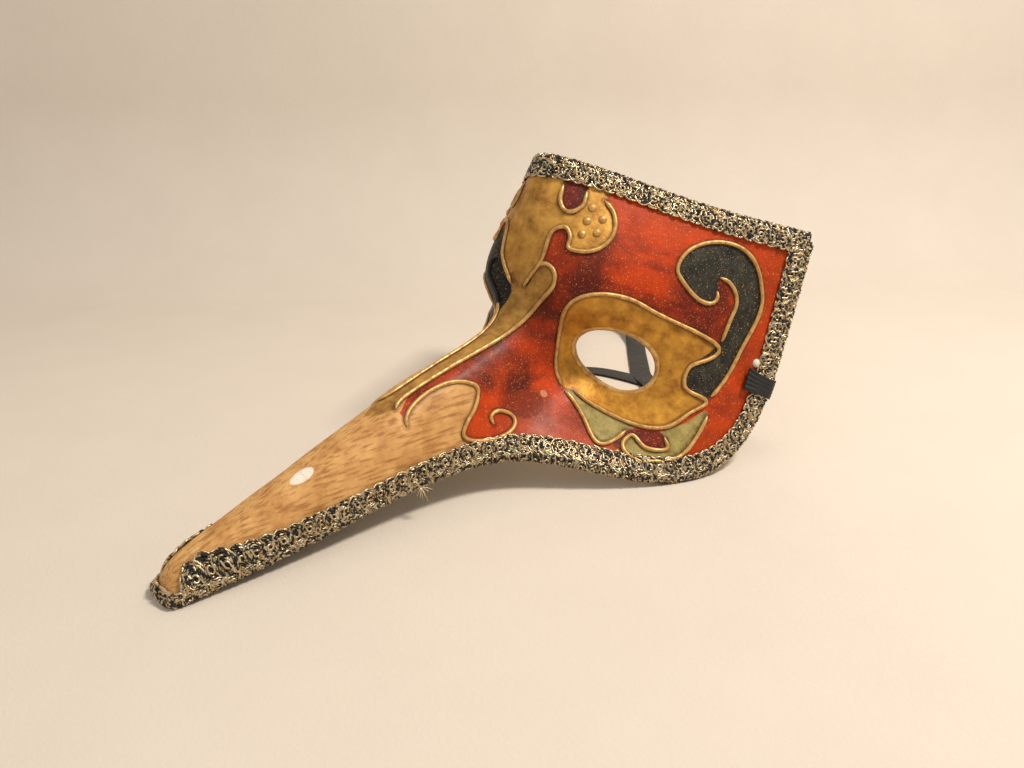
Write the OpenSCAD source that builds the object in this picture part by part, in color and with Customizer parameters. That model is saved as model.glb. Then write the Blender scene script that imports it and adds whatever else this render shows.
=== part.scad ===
/* [Shell] */
// Thickness of the papier-mache shell
shell_t = 2.4; // [1.8:0.2:3]
// Cells of the shell's grid between two rows of control points
cells_along = 4; // [2:1:5]
// Cells of the shell's grid between two columns of control points
cells_across = 3; // [2:1:4]

/* [Eye openings] */
// Long diameter of the rolled rim of each eye opening, along its middle
eye_w = 39; // [33:1:40]
// Short diameter of the same rim
eye_h = 27; // [22:1:28]
// Radius of the rolled paper rim of an eye opening
eye_rim_r = 1.5; // [1:0.1:1.8]

/* [Relief] */
// Width of the piped relief lines
line_w = 2.4; // [1.6:0.2:3]
// Height of the piped relief lines
line_h = 1.2; // [0.8:0.1:1.6]
// Radius of the forehead beads
bead_r = 1.9; // [1.5:0.1:2.1]

/* [Braid] */
// Width of the braid on the outside of the shell
braid_w = 9; // [7:0.5:10]
// Width of the braid turned over to the inside
braid_inner_w = 6; // [4:0.5:7]
// Thickness of the braid
braid_t = 1.3; // [0.8:0.1:1.6]

/* [Ribbons] */
// Width of the tying ribbons
ribbon_w = 12; // [8:1:14]
// Thickness of the tying ribbons
ribbon_t = 0.8; // [0.5:0.1:1]

/* [Hidden] */

// Clearance between pieces that touch
gap = 0.1;
GOLD = "goldenrod";
BRAID_COLOUR = "dimgray";
RIBBON_COLOUR = "#1c1e22";

// Control net of the shell's outer face. Rows run from the nose tip to the forehead edge,
// columns from the centre line to the rim. It holds the left half, and the right half is its
// mirror image. A place on the face is [row, column], and a negative column is on the right.
NET = [
    [[0, -134.5, 2.2], [1.8, -134.5, 2.2], [3.5, -134.4, 2.2], [5, -134.2, 2.3], [6.3, -133.9, 2.4],
        [7.4, -133.5, 2.5], [8.3, -133, 2.6]],
    [[0, -132, 12], [3, -132, 12], [5.5, -131, 10.7], [7.4, -129.5, 8.8], [8.6, -128, 6.8],
        [9.3, -126.5, 5.1], [9.7, -125.5, 3.7]],
    [[0, -109, 19.5], [4, -109, 19.5], [7.5, -108, 17.7], [10, -106, 14.7], [11.3, -104, 11.5],
        [11.9, -102.5, 8.6], [12.2, -101, 5.8]],
    [[0, -76, 31], [5, -76, 31], [9.5, -75, 28.7], [12.3, -73, 24.2], [13.8, -71, 19.5],
        [14.5, -70, 15], [14.8, -69, 10.2]],
    [[0, -42, 43.5], [5.5, -42, 43.5], [11, -41, 40], [14.5, -39, 34.5], [16, -37, 28],
        [16.8, -36, 21.8], [17, -35, 15.3]],
    [[0, -9, 53.5], [6, -9, 53.5], [12, -6, 49], [16, -3, 42], [18.5, 0, 34],
        [21, 2, 26], [24, 4, 18]],
    [[0, 18, 59.5], [7, 19, 59], [14, 27, 53], [19, 34, 43], [26, 37, 32], [35, 32, 22],
        [47, 24, 13]],
    [[0, 36, 70], [9, 35, 69], [20, 38, 65], [27, 56, 52], [39, 66, 38], [52, 54, 22],
        [68, 45, 4]],
    [[0, 36, 85], [10, 36, 84], [24, 38, 78], [38, 50, 67], [50, 74, 47], [64, 68, 26],
        [82, 72, 0.4]],
    [[0, 40, 99], [11, 40, 98], [26, 44, 92], [42, 62, 80], [58, 82, 61], [73, 97, 39],
        [85, 104, 16]],
    [[0, 44, 116], [10, 46, 115], [25, 57, 110], [42, 74, 98], [59, 92, 84], [75, 108, 69],
        [87, 116, 53]],
    [[0, 50, 134], [8, 56, 133], [24, 71, 126], [43, 90, 116], [60, 107, 108],
        [76, 123, 102], [87, 133.5, 98]]];
LAST_ROW = len(NET) - 1;
LAST_COL = len(NET[0]) - 1;

// Sculpting round an eye: the socket is pressed in, and the brow and the cheekbone stand
// proud. Each number is how far a control point is pulled out, from row 6 and column 2 on
PULL_WAY = unit([0.6, -0.77, 0.25]);
PULL_FROM = [6, 2];
PULLS = [[-2, -6, -6, 0], [-2, -11, -6, 5], [4, -1, 2, 7], [3, 3, 6, 6], [1, 2, 3, 3]];
function pull(a, b) = a < 0 || a >= len(PULLS) || b < 0 || b >= len(PULLS[0]) ? 0 : PULLS[a][b];
FORM = [for (i = [0:LAST_ROW]) [for (j = [0:LAST_COL])
    NET[i][j] + pull(i - PULL_FROM[0], j - PULL_FROM[1]) * PULL_WAY]];

// Outer face: a uniform cubic B-spline of that form, carried on past its edges so that the
// face ends on the outermost control points
function mirrored(p) = [-p[0], p[1], p[2]];
function in_row(i, j) = j < 0 ? mirrored(FORM[i][1])
    : j > LAST_COL ? 2 * FORM[i][LAST_COL] - FORM[i][LAST_COL - 1] : FORM[i][j];
function net_point(i, j) = i < 0 ? 2 * in_row(0, j) - in_row(1, j)
    : i > LAST_ROW ? 2 * in_row(LAST_ROW, j) - in_row(LAST_ROW - 1, j) : in_row(i, j);
function weights(f) = [pow(1 - f, 3), 3 * pow(f, 3) - 6 * f * f + 4,
    -3 * pow(f, 3) + 3 * f * f + 3 * f + 1, pow(f, 3)] / 6;
function half_face(t, s) = let (i = min(max(floor(t), 0), LAST_ROW - 1),
    j = min(floor(s), LAST_COL - 1), u = weights(t - i), v = weights(s - j))
    v * [for (l = [0:3]) u * [for (k = [0:3]) net_point(i + k - 1, j + l - 1)]];
function face(p) = p[1] < 0 ? mirrored(half_face(p[0], -p[1])) : half_face(p[0], p[1]);

function unit(v) = v / norm(v);
function inside_net(p) = [min(max(p[0], 0), LAST_ROW), min(max(p[1], -LAST_COL), LAST_COL)];
function along(p) = let (e = [0.02, 0], a = inside_net(p + e), b = inside_net(p - e))
    (face(a) - face(b)) / (a[0] - b[0]);
function across(p) = let (e = [0, 0.02], a = inside_net(p + e), b = inside_net(p - e))
    (face(a) - face(b)) / (a[1] - b[1]);
function outward(p) = unit(cross(across(p), along(p)));
function lifted(p, h) = face(p) + h * outward(p);

// The place that is reached from p by going the 3-D step v along the face
function stepped(p, v) = let (a = along(p), c = across(p), aa = a * a, ac = a * c, cc = c * c,
    d = aa * cc - ac * ac) inside_net(p + [(a * v) * cc - (c * v) * ac,
    (c * v) * aa - (a * v) * ac] / d);

// Catmull-Rom curve through a list of places, with k pieces between two of them
function between(a, b, c, d, f) = b + f * (c - a + f * (2 * a - 5 * b + 4 * c - d
    + f * (3 * b - a - 3 * c + d))) / 2;
function smooth(points, k) = let (n = len(points)) [for (i = [0:n - 2]) for (f = [0:k - 1])
    between(points[max(i - 1, 0)], points[i], points[i + 1], points[min(i + 2, n - 1)], f / k),
    points[n - 1]];

// A solid through rings of points that all have the same count. It is joined to itself or
// closed by flat ends, which are a fan unless cap lists their triangles
module ring_solid(rings, joined = false, cap = []) {
    n = len(rings);
    m = len(rings[0]);
    fan = len(cap) > 0 ? cap : [for (j = [1:m - 2]) [0, j, j + 1]];
    last = joined ? n - 1 : n - 2;
    walls = [for (i = [0:last]) for (j = [0:m - 1]) let (a = i * m + j,
        b = i * m + (j + 1) % m, c = (i + 1) % n * m + (j + 1) % m, d = (i + 1) % n * m + j)
        each [[a, b, c], [a, c, d]]];
    ends = joined ? [] : [for (c = fan) each [[c[0], c[2], c[1]],
        [for (k = c) (n - 1) * m + k]]];
    polyhedron([for (r = rings) each r], concat(walls, ends), convexity = 8);
}

// Rings of a section that is carried over the face along a list of places
function heading(places, i) = let (n = len(places)) unit(face(places[min(i + 1, n - 1)])
    - face(places[max(i - 1, 0)]));
function carried(places, section) = [for (i = [0:len(places) - 1]) let (p = places[i],
    n = outward(p), side = cross(heading(places, i), n)) [for (q = section)
    face(p) + side * q[0] + n * q[1]]];
module on_side(right) {
    mirror([right ? 1 : 0, 0, 0]) children();
}

/* Shell */

SHELL_ROWS = [for (i = [0:LAST_ROW * cells_along]) i / cells_along];
SHELL_COLUMNS = [for (j = [-LAST_COL * cells_across:LAST_COL * cells_across]) j / cells_across];
EYE_CENTRE = [37, 60, 48];
EYE_OUT = unit([0.45, -0.89, -0.07]);
EYE_TILT = -21;
EYE_SIDE = unit(cross([0, 0, 1], EYE_OUT));
EYE_UP = cross(EYE_OUT, EYE_SIDE);
EYE_START = [7.42, 3.6];
function eye_curve(grow, n) = [for (k = [0:n - 1]) let (a = 360 * k / n,
    x = (eye_w / 2 + grow) * cos(a), y = (eye_h / 2 + grow) * sin(a))
    [x * cos(EYE_TILT) - y * sin(EYE_TILT), x * sin(EYE_TILT) + y * cos(EYE_TILT)]];

// Two faces of one grid, sewn together along the rim
module face_solid(rows, columns, thickness) {
    m = len(rows);
    n = len(columns);
    outer = [for (t = rows) for (s = columns) face([t, s])];
    inner = [for (t = rows) for (s = columns) lifted([t, s], -thickness)];
    o = m * n;
    faces = [for (i = [0:m - 2]) for (j = [0:n - 2]) let (a = i * n + j, b = a + 1, c = b + n,
        d = a + n) each [[a, c, b], [a, d, c], [o + a, o + b, o + c], [o + a, o + c, o + d]]];
    ends = [for (j = [0:n - 2]) let (a = j, b = j + 1, c = (m - 1) * n + j, d = c + 1)
        each [[a, o + b, o + a], [a, b, o + b], [c, o + d, d], [c, o + c, o + d]]];
    sides = [for (i = [0:m - 2]) let (a = i * n, b = a + n, c = a + n - 1, d = c + n)
        each [[a, o + b, b], [a, o + a, o + b], [c, o + d, o + c], [c, d, o + d]]];
    polyhedron(concat(outer, inner), concat(faces, ends, sides), convexity = 6);
}
module eye_cutter() {
    multmatrix([[EYE_SIDE[0], EYE_UP[0], EYE_OUT[0], EYE_CENTRE[0]],
        [EYE_SIDE[1], EYE_UP[1], EYE_OUT[1], EYE_CENTRE[1]],
        [EYE_SIDE[2], EYE_UP[2], EYE_OUT[2], EYE_CENTRE[2]]])
        linear_extrude(height = 40, center = true) polygon(eye_curve(eye_rim_r, 36));
}
module shell() {
    color("firebrick") difference() {
        face_solid(SHELL_ROWS, SHELL_COLUMNS, shell_t);
        for (right = [false, true]) on_side(right) eye_cutter();
    }
}

// Newton steps to the place on the face that the eye's frame shows at q
function eye_miss(p, q) = let (v = face(p) - EYE_CENTRE) [v * EYE_SIDE - q[0], v * EYE_UP - q[1]];
function eye_place(q, p, steps) = steps == 0 ? p : let (m = eye_miss(p, q), a = along(p),
    c = across(p), v = [a * EYE_SIDE, a * EYE_UP], w = [c * EYE_SIDE, c * EYE_UP],
    d = v[0] * w[1] - v[1] * w[0])
    eye_place(q, p - [m[0] * w[1] - m[1] * w[0], m[1] * v[0] - m[0] * v[1]] / d, steps - 1);
module eye_rim() {
    sides = 8;
    curve = eye_curve(0, 36);
    n = len(curve);
    centres = [for (q = curve) lifted(eye_place(q, EYE_START, 6), -shell_t / 2)];
    rings = [for (i = [0:n - 1]) let (ahead = unit(centres[(i + 1) % n] - centres[(i + n - 1) % n]),
        side = unit(cross(ahead, EYE_OUT)), up = cross(side, ahead)) [for (k = [0:sides - 1])
        centres[i] + (eye_rim_r - gap) * (side * cos(360 * k / sides) + up * sin(360 * k / sides))]];
    color(GOLD) ring_solid(rings, joined = true);
}

/* Relief: lines piped on to the shell and painted gold */

// Part of a spiral round the place c, in n steps: the radius in rows and the angle each go
// from their first value to their second, and it is stretch times as wide along the columns
function swirl(c, r, a, stretch, n) = [for (k = [0:n]) let (q = mixed(r[0], r[1], k / n),
    w = mixed(a[0], a[1], k / n)) c + q * [cos(w), stretch * sin(w)]];

// Round the socket on the nose side, then along the brow to its point and back under the eye
EYE_OUTLINE = concat(swirl([7.5, 3.6], [1.4, 1.4], [180, 360], 1.07, 10),
    [[9.2, 4.7], [8.6, 4.5], [8.3, 4.7], [8.5, 5.1]],
    swirl([7.75, 3.6], [1.55, 1.55], [75, 170], 1, 5));
TEMPLE_SCROLL = concat([[8.6, 5.1], [9.4, 5.1]],
    swirl([9.9, 4.3], [0.8, 0.6], [80, -100], 1.2, 8),
    swirl([9.9, 4.2], [0.4, 0.1], [-130, -260], 1.2, 4));
TEMPLE_INNER = concat(swirl([9.85, 4.4], [0.25, 0.25], [-20, 90], 1.3, 4),
    [[9.6, 4.7], [9.3, 4.7]]);
CHEEK_PANEL = [[6.1, 3.8], [6.25, 4.7], [6.4, 5.4], [6.9, 5.1]];
CHEEK_SCROLL = concat([[8.4, 5.3], [7.7, 5.65]],
    swirl([7.05, 5.45], [0.3, 0.28], [70, 260], 0.9, 6),
    [[7.15, 5.45], [7.5, 5.5], [7.55, 5.3]]);
// A crescent round the beads, a small hook inside it, and a tail that runs down to the ridge
FOREHEAD_SCROLL = concat(swirl([9.85, 1.75], [0.65, 0.65], [25, 185], 1, 6), [[9.45, 1.65]],
    swirl([9.2, 1.5], [0.4, 0.4], [0, -90], 1, 4), [[8.5, 1], [7.7, 0.4]]);
FOREHEAD_NOTCH = concat([[10.5, 1.1]], swirl([10.35, 1.4], [0.4, 0.4], [250, 110], 0.75, 6),
    [[10.5, 1.65]]);
// A curl, then a parabola that closes in on the ridge, then a short hook over the nose
RIDGE_LINE = concat(swirl([8.3, 1.3], [0.3, 0.3], [-60, 90], 1.1, 5),
    [for (k = [0:4]) let (t = 8 - 0.75 * k) [t, 0.7 + 0.1 * pow(t - 5, 2)]],
    [[4.3, 0.7], [4.1, 1.1]]);
NOSE_SCROLL = concat(swirl([4.55, 2.5], [0.5, 0.5], [185, 360], 2.2, 8), [[4.9, 3.2], [4.7, 3.8]],
    swirl([4.95, 4.4], [0.36, 0.32], [190, -60], 2, 9), [[5, 4], [5, 4.4]]);

// Two staggered rows of beads on the forehead, and a pair of small ones on the ridge
BEAD_PLACES = [for (k = [0:4]) [10.2 - 0.15 * k, k % 2 == 0 ? 1.87 : 2.13]];
SMALL_BEAD_PLACES = [[8.2, 1.1], [7.95, 1.1]];

module relief_line(points, pieces) {
    section = [[line_w / 2, gap], [0.36 * line_w, gap + 0.7 * line_h], [0, gap + line_h],
        [-0.36 * line_w, gap + 0.7 * line_h], [-line_w / 2, gap]];
    color(GOLD) ring_solid(carried(smooth(points, pieces), section));
}
module bead(place, r) {
    n = outward(place);
    side = unit(across(place));
    up = cross(n, side);
    color(GOLD) ring_solid([for (q = [[1, 0], [0.8, 0.45], [0.35, 0.7]]) [for (a = [315:-45:0])
        face(place) + q[0] * r * (side * cos(a) + up * sin(a)) + (gap + q[1] * r) * n]]);
}
module eye_outline() { relief_line(EYE_OUTLINE, 2); }
module ridge_line() { relief_line(RIDGE_LINE, 3); }
module nose_scroll() { relief_line(NOSE_SCROLL, 2); }
module forehead_scroll() { relief_line(FOREHEAD_SCROLL, 2); }
module forehead_notch() { relief_line(FOREHEAD_NOTCH, 2); }
module forehead_beads() {
    for (p = BEAD_PLACES) bead(p, bead_r);
    for (p = SMALL_BEAD_PLACES) bead(p, bead_r * 0.6);
}
module temple_scroll() { relief_line(TEMPLE_SCROLL, 2); }
module temple_inner_line() { relief_line(TEMPLE_INNER, 2); }
module cheek_scroll() { relief_line(CHEEK_SCROLL, 2); }
module cheek_panel() { relief_line(CHEEK_PANEL, 2); }

/* Braid: folded over the rim */

// The left braid goes from the nose tip round the cheek to just under the top braid
TIP_RIM = [for (s = [0.08, each [1:LAST_COL - 1]]) [0, s]];
SIDE_RIM = [for (t = [0.1, 0.3, each [0.6:0.2:10.6], 10.78]) [t, LAST_COL]];
TOP_RIM = [for (s = [-LAST_COL:0.25:LAST_COL]) [LAST_ROW, s]];

// Near the nose tip, where the rim turns a tight corner, the braid goes this share of the way
// to a place on the ridge, and what is outward there is taken from the rim alone
TIP_AIM = [1, 0];
TIP_SHARE = 0.42;
TIP_INNER_SHARE = 0.25;
TIP_LEAN = 0.35;
TIP_ROWS = [0.4, 1.2];
function past_tip(p) = min(max((p[0] - TIP_ROWS[0]) / (TIP_ROWS[1] - TIP_ROWS[0]), 0), 1);
function mixed(a, b, f) = a + f * (b - a);

// A ring of a strip folded over the rim at the place p, with the rim heading that way: it
// lies lift above the shell, is thick thick, and reaches w over the outside and v over the
// inside
function folded(p, way, lift, thick, w, v) = let (f = past_tip(p),
    tip_out = unit(cross(way, [0, 0, 1])) + [0, 0, TIP_LEAN],
    n = unit(mixed(tip_out, outward(p), f)), inward = unit(cross(n, way)),
    far = mixed(mixed(p, TIP_AIM, TIP_SHARE), stepped(p, inward * w), f),
    mid = mixed(mixed(p, TIP_AIM, TIP_SHARE / 2), stepped(p, inward * w / 2), f),
    near = mixed(mixed(p, TIP_AIM, TIP_INNER_SHARE), stepped(p, inward * v), f),
    far_out = unit(mixed(tip_out, outward(far), f)), mid_out = unit(mixed(tip_out, outward(mid), f)),
    near_out = unit(mixed(tip_out, outward(near), f)), low = -shell_t - lift,
    edge = -lift * inward, rim = -(lift + thick) * inward)
    [face(far) + lift * far_out, face(mid) + lift * mid_out, face(p) + lift * n + edge,
    face(p) + low * n + edge, face(near) + low * near_out, face(near) + (low - thick) * near_out,
    face(p) + (low - thick) * n, face(p) - shell_t * n + rim, face(p) + rim,
    face(p) + (lift + thick) * n, face(mid) + (lift + thick) * mid_out,
    face(far) + (lift + thick) * far_out];
FOLDED_CAP = [[0, 1, 10], [0, 10, 11], [1, 2, 9], [1, 9, 10], [2, 8, 9], [2, 3, 7], [2, 7, 8],
    [3, 6, 7], [3, 4, 5], [3, 5, 6]];
module folded_strip(places, lift, thick, w, v) {
    ring_solid([for (i = [0:len(places) - 1]) folded(places[i], heading(places, i), lift, thick,
        w, v)], cap = FOLDED_CAP);
}
module braid_side() {
    color(BRAID_COLOUR) folded_strip(concat(TIP_RIM, SIDE_RIM), gap, braid_t, braid_w,
        braid_inner_w);
}
module braid_top() {
    color(BRAID_COLOUR) folded_strip([for (p = TOP_RIM) [p[0], -p[1]]], gap, braid_t, braid_w,
        braid_inner_w);
}

/* Ribbons: each is glued over the side rim and lies loose behind the mask */

TAB_RIM = [for (t = [9.28:0.1:9.6]) [t, LAST_COL]];
TAB_LIFT = braid_t + 2 * gap;
module ribbon_tab() {
    color(RIBBON_COLOUR) folded_strip(TAB_RIM, TAB_LIFT, ribbon_t, 13, 11);
}
module glue_dab() {
    place = stepped([9.62, LAST_COL], [-16, 0, 3]);
    color("white") bead(place, 2);
}

// Each stop of a route holds its position and the direction that the ribbon's face looks in
LEFT_ROUTE = [[[77, 112, 33], [-1, 0, 0]], [[75, 113, 22], [-1, 0, 0.1]],
    [[71, 115, 11], [-1, 0.2, 0.6]], [[62, 119, 3], [-0.4, 0.1, 1]], [[48, 124, 1.2], [0, 0, 1]],
    [[32, 131, 1.2], [0, 0, 1]], [[14, 139, 1.2], [0, 0, 1]], [[-6, 150, 2.5], [0, 0, 1]],
    [[-22, 162, 1.2], [0, 0, 1]], [[-36, 178, 1.2], [0, 0, 1]], [[-52, 197, 1.2], [0, 0, 1]],
    [[-68, 216, 2], [0, 0, 1]], [[-84, 231, 5], [0.5, 0.6, 0.6]],
    [[-104, 234, 6.7], [0, 1, 0]], [[-118, 222, 6.7], [-0.9, 0.4, 0]],
    [[-118, 206, 6.7], [-1, -0.2, 0]], [[-108, 192, 6.7], [-0.8, -0.6, 0]],
    [[-96, 178, 6.7], [-0.8, -0.6, 0]], [[-84, 164, 6.7], [-0.8, -0.6, 0]],
    [[-74, 150, 6.7], [-0.8, -0.6, 0]]];
RIGHT_ROUTE = [[[-77, 112, 33], [1, 0, 0]], [[-76, 115, 22], [1, 0, 0.1]],
    [[-74, 121, 11], [1, -0.2, 0.6]], [[-69, 130, 3], [0.3, 0.2, 1]], [[-60, 141, 1.2], [0, 0, 1]],
    [[-46, 150, 1.2], [0, 0, 1]], [[-28, 153, 1.2], [0, 0, 1]], [[-8, 153, 1.2], [0, 0, 1]],
    [[10, 152, 1.2], [0, 0, 1]], [[24, 154, 1.5], [0, 0, 1]], [[35, 160, 4], [0.2, -0.5, 0.8]],
    [[40, 168, 6.7], [0.9, -0.3, 0]], [[37, 177, 6.7], [0.8, 0.6, 0]],
    [[28, 183, 6.7], [0.4, 0.9, 0]], [[14, 185, 6.7], [0, 1, 0]], [[0, 186, 6.7], [0, 1, 0]],
    [[-12, 190, 6.7], [0.3, 1, 0]]];
RIBBON_SECTION = [[0.5, -0.3], [0.5, 0.3], [0.3, 0.5], [-0.3, 0.5], [-0.5, 0.3], [-0.5, -0.3],
    [-0.3, -0.5], [0.3, -0.5]];
module ribbon(route) {
    stops = smooth([for (r = route) concat(r[0], r[1])], 2);
    n = len(stops);
    places = [for (q = stops) [q[0], q[1], q[2]]];
    color(RIBBON_COLOUR) ring_solid([for (i = [0:n - 1])
        let (ahead = unit(places[min(i + 1, n - 1)] - places[max(i - 1, 0)]),
        looks = [stops[i][3], stops[i][4], stops[i][5]], side = unit(cross(ahead, looks)),
        up = cross(side, ahead)) [for (q = RIBBON_SECTION)
        places[i] + side * q[0] * ribbon_w + up * q[1] * ribbon_t]]);
}

shell();
on_side(false) eye_rim();  // eye_rim_left
on_side(true) eye_rim();  // eye_rim_right
braid_top();
on_side(false) braid_side();  // braid_left
on_side(true) braid_side();  // braid_right
on_side(false) eye_outline();  // eye_outline_left
on_side(true) eye_outline();  // eye_outline_right
on_side(false) ridge_line();  // ridge_line_left
on_side(true) ridge_line();  // ridge_line_right
on_side(false) nose_scroll();  // nose_scroll_left
on_side(true) nose_scroll();  // nose_scroll_right
on_side(false) forehead_scroll();  // forehead_scroll_left
on_side(true) forehead_scroll();  // forehead_scroll_right
on_side(false) forehead_notch();  // forehead_notch_left
on_side(true) forehead_notch();  // forehead_notch_right
on_side(false) forehead_beads();  // forehead_beads_left
on_side(true) forehead_beads();  // forehead_beads_right
on_side(false) temple_scroll();  // temple_scroll_left
on_side(true) temple_scroll();  // temple_scroll_right
on_side(false) temple_inner_line();  // temple_inner_line_left
on_side(true) temple_inner_line();  // temple_inner_line_right
on_side(false) cheek_scroll();  // cheek_scroll_left
on_side(true) cheek_scroll();  // cheek_scroll_right
on_side(false) cheek_panel();  // cheek_panel_left
on_side(true) cheek_panel();  // cheek_panel_right
on_side(false) ribbon_tab();  // ribbon_tab_left
on_side(true) ribbon_tab();  // ribbon_tab_right
on_side(false) glue_dab();  // glue_dab_left
on_side(true) glue_dab();  // glue_dab_right
ribbon(LEFT_ROUTE);  // ribbon_left
ribbon(RIGHT_ROUTE);  // ribbon_right
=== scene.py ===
import math

import bpy
import numpy as np
from mathutils import Matrix


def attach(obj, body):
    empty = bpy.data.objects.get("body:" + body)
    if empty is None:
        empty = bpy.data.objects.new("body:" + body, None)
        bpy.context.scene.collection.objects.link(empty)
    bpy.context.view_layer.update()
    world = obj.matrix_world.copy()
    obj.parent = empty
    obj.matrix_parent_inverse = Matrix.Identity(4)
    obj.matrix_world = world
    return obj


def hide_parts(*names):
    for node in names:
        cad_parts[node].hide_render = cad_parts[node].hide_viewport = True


bl_info = {
    "name": "Long-nosed Carnival Mask",
    "version": (1, 0, 0),
    "blender": (4, 5, 0),
    "location": "3D View > Sidebar > Mask",
    "description": "Builds the painted look of a papier-mache carnival mask on its CAD frame",
    "category": "Object",
}

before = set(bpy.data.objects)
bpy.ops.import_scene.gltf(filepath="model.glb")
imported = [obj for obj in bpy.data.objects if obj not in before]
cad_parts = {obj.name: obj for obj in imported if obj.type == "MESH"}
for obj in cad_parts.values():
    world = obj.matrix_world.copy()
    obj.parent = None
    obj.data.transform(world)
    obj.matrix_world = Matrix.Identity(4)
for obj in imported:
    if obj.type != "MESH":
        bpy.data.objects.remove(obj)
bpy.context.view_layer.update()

# All shapes are worked out in millimetres and are scaled as they go into a mesh
MM = 0.001
UP = np.array([0.0, 0.0, 1.0])
SIDES = {"left": 1, "right": -1}

# ---------------------------------------------------------------------------------------
# The face: a uniform cubic B-spline of the net. A place on it is (row, column). Rows run
# from the nose tip to the forehead edge, columns from the centre line to the rim. The net
# holds the wearer's left half, at +X, and a negative column is on the mirrored half.

NET = np.array([
    [[0, -134.5, 2.2], [1.8, -134.5, 2.2], [3.5, -134.4, 2.2], [5, -134.2, 2.3], [6.3, -133.9, 2.4],
     [7.4, -133.5, 2.5], [8.3, -133, 2.6]],
    [[0, -132, 12], [3, -132, 12], [5.5, -131, 10.7], [7.4, -129.5, 8.8], [8.6, -128, 6.8],
     [9.3, -126.5, 5.1], [9.7, -125.5, 3.7]],
    [[0, -109, 19.5], [4, -109, 19.5], [7.5, -108, 17.7], [10, -106, 14.7], [11.3, -104, 11.5],
     [11.9, -102.5, 8.6], [12.2, -101, 5.8]],
    [[0, -76, 31], [5, -76, 31], [9.5, -75, 28.7], [12.3, -73, 24.2], [13.8, -71, 19.5],
     [14.5, -70, 15], [14.8, -69, 10.2]],
    [[0, -42, 43.5], [5.5, -42, 43.5], [11, -41, 40], [14.5, -39, 34.5], [16, -37, 28],
     [16.8, -36, 21.8], [17, -35, 15.3]],
    [[0, -9, 53.5], [6, -9, 53.5], [12, -6, 49], [16, -3, 42], [18.5, 0, 34],
     [21, 2, 26], [24, 4, 18]],
    [[0, 18, 59.5], [7, 19, 59], [14, 27, 53], [19, 34, 43], [26, 37, 32],
     [35, 32, 22], [47, 24, 13]],
    [[0, 36, 70], [9, 35, 69], [20, 38, 65], [27, 56, 52], [39, 66, 38],
     [52, 54, 22], [68, 45, 4]],
    [[0, 36, 85], [10, 36, 84], [24, 38, 78], [38, 50, 67], [50, 74, 47],
     [64, 68, 26], [82, 72, 0.4]],
    [[0, 40, 99], [11, 40, 98], [26, 44, 92], [42, 62, 80], [58, 82, 61],
     [73, 97, 39], [85, 104, 16]],
    [[0, 44, 116], [10, 46, 115], [25, 57, 110], [42, 74, 98], [59, 92, 84],
     [75, 108, 69], [87, 116, 53]],
    [[0, 50, 134], [8, 56, 133], [24, 71, 126], [43, 90, 116], [60, 107, 108],
     [76, 123, 102], [87, 133.5, 98]],
], float)
LAST_ROW = len(NET) - 1
LAST_COL = len(NET[0]) - 1

# Sculpting round an eye: how far each control point, from row 6 and column 2 on, is pulled out
PULL_WAY = np.array([0.6, -0.77, 0.25])
PULL_FROM = (6, 2)
PULLS = np.array([[-2, -6, -6, 0], [-2, -11, -6, 5], [4, -1, 2, 7], [3, 3, 6, 6], [1, 2, 3, 3]],
                 float)

EYE_CENTRE = np.array([37.0, 60.0, 48.0])
EYE_OUT = np.array([0.45, -0.89, -0.07])
EYE_TILT = math.radians(-21)
EYE_START = (7.42, 3.6)


def unit(v):
    """Vectors scaled to length one along their last axis."""
    return v / (np.linalg.norm(v, axis=-1, keepdims=True) + 1e-12)


def sculpted_net():
    """The net with each pulled point moved along the pull's direction."""
    form = NET.copy()
    (i, j), (n, m) = PULL_FROM, PULLS.shape
    form[i:i + n, j:j + m] += PULLS[..., None] * unit(PULL_WAY)
    return form


FORM = sculpted_net()
EYE_OUT = unit(EYE_OUT)
EYE_SIDE = unit(np.cross(UP, EYE_OUT))
EYE_UP = np.cross(EYE_OUT, EYE_SIDE)


def padded_net():
    """The net with one more ring of points: mirrored at the centre line, and carried on
    straight past the other edges, so that the face ends on the outermost points."""
    wide = np.concatenate([FORM[:, 1:2] * [-1, 1, 1], FORM, 2 * FORM[:, -1:] - FORM[:, -2:-1]], 1)
    return np.concatenate([2 * wide[:1] - wide[1:2], wide, 2 * wide[-1:] - wide[-2:-1]], 0)


PADDED = padded_net()


def weights(f):
    """The four cubic B-spline weights at fraction f of a cell."""
    return np.stack([(1 - f) ** 3, 3 * f ** 3 - 6 * f ** 2 + 4,
                     -3 * f ** 3 + 3 * f ** 2 + 3 * f + 1, f ** 3], -1) / 6


def weight_slopes(f):
    """The slopes of those weights."""
    return np.stack([-3 * (1 - f) ** 2, 9 * f ** 2 - 12 * f,
                     -9 * f ** 2 + 6 * f + 3, 3 * f ** 2], -1) / 6


def summed(t, s, row_weights, column_weights, flip):
    """Sum over the 4 by 4 nearest net points, each times its row weight and column weight."""
    t, s = np.broadcast_arrays(np.asarray(t, float), np.asarray(s, float))
    side = np.where(s < 0, -1.0, 1.0)
    t, s = np.clip(t, 0, LAST_ROW), np.clip(np.abs(s), 0, LAST_COL)
    i = np.minimum(t.astype(int), LAST_ROW - 1)
    j = np.minimum(s.astype(int), LAST_COL - 1)
    wt, ws = row_weights(t - i), column_weights(s - j)
    total = np.zeros(t.shape + (3,))
    for k in range(4):
        for l in range(4):
            total += (wt[..., k] * ws[..., l])[..., None] * PADDED[i + k, j + l]
    total[..., 0] *= side
    return total * side[..., None] if flip else total


def face(t, s):
    """Point of the outer face at row t and column s."""
    return summed(t, s, weights, weights, False)


def along(t, s):
    """Slope of the face towards the forehead, per row."""
    return summed(t, s, weight_slopes, weights, False)


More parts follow.
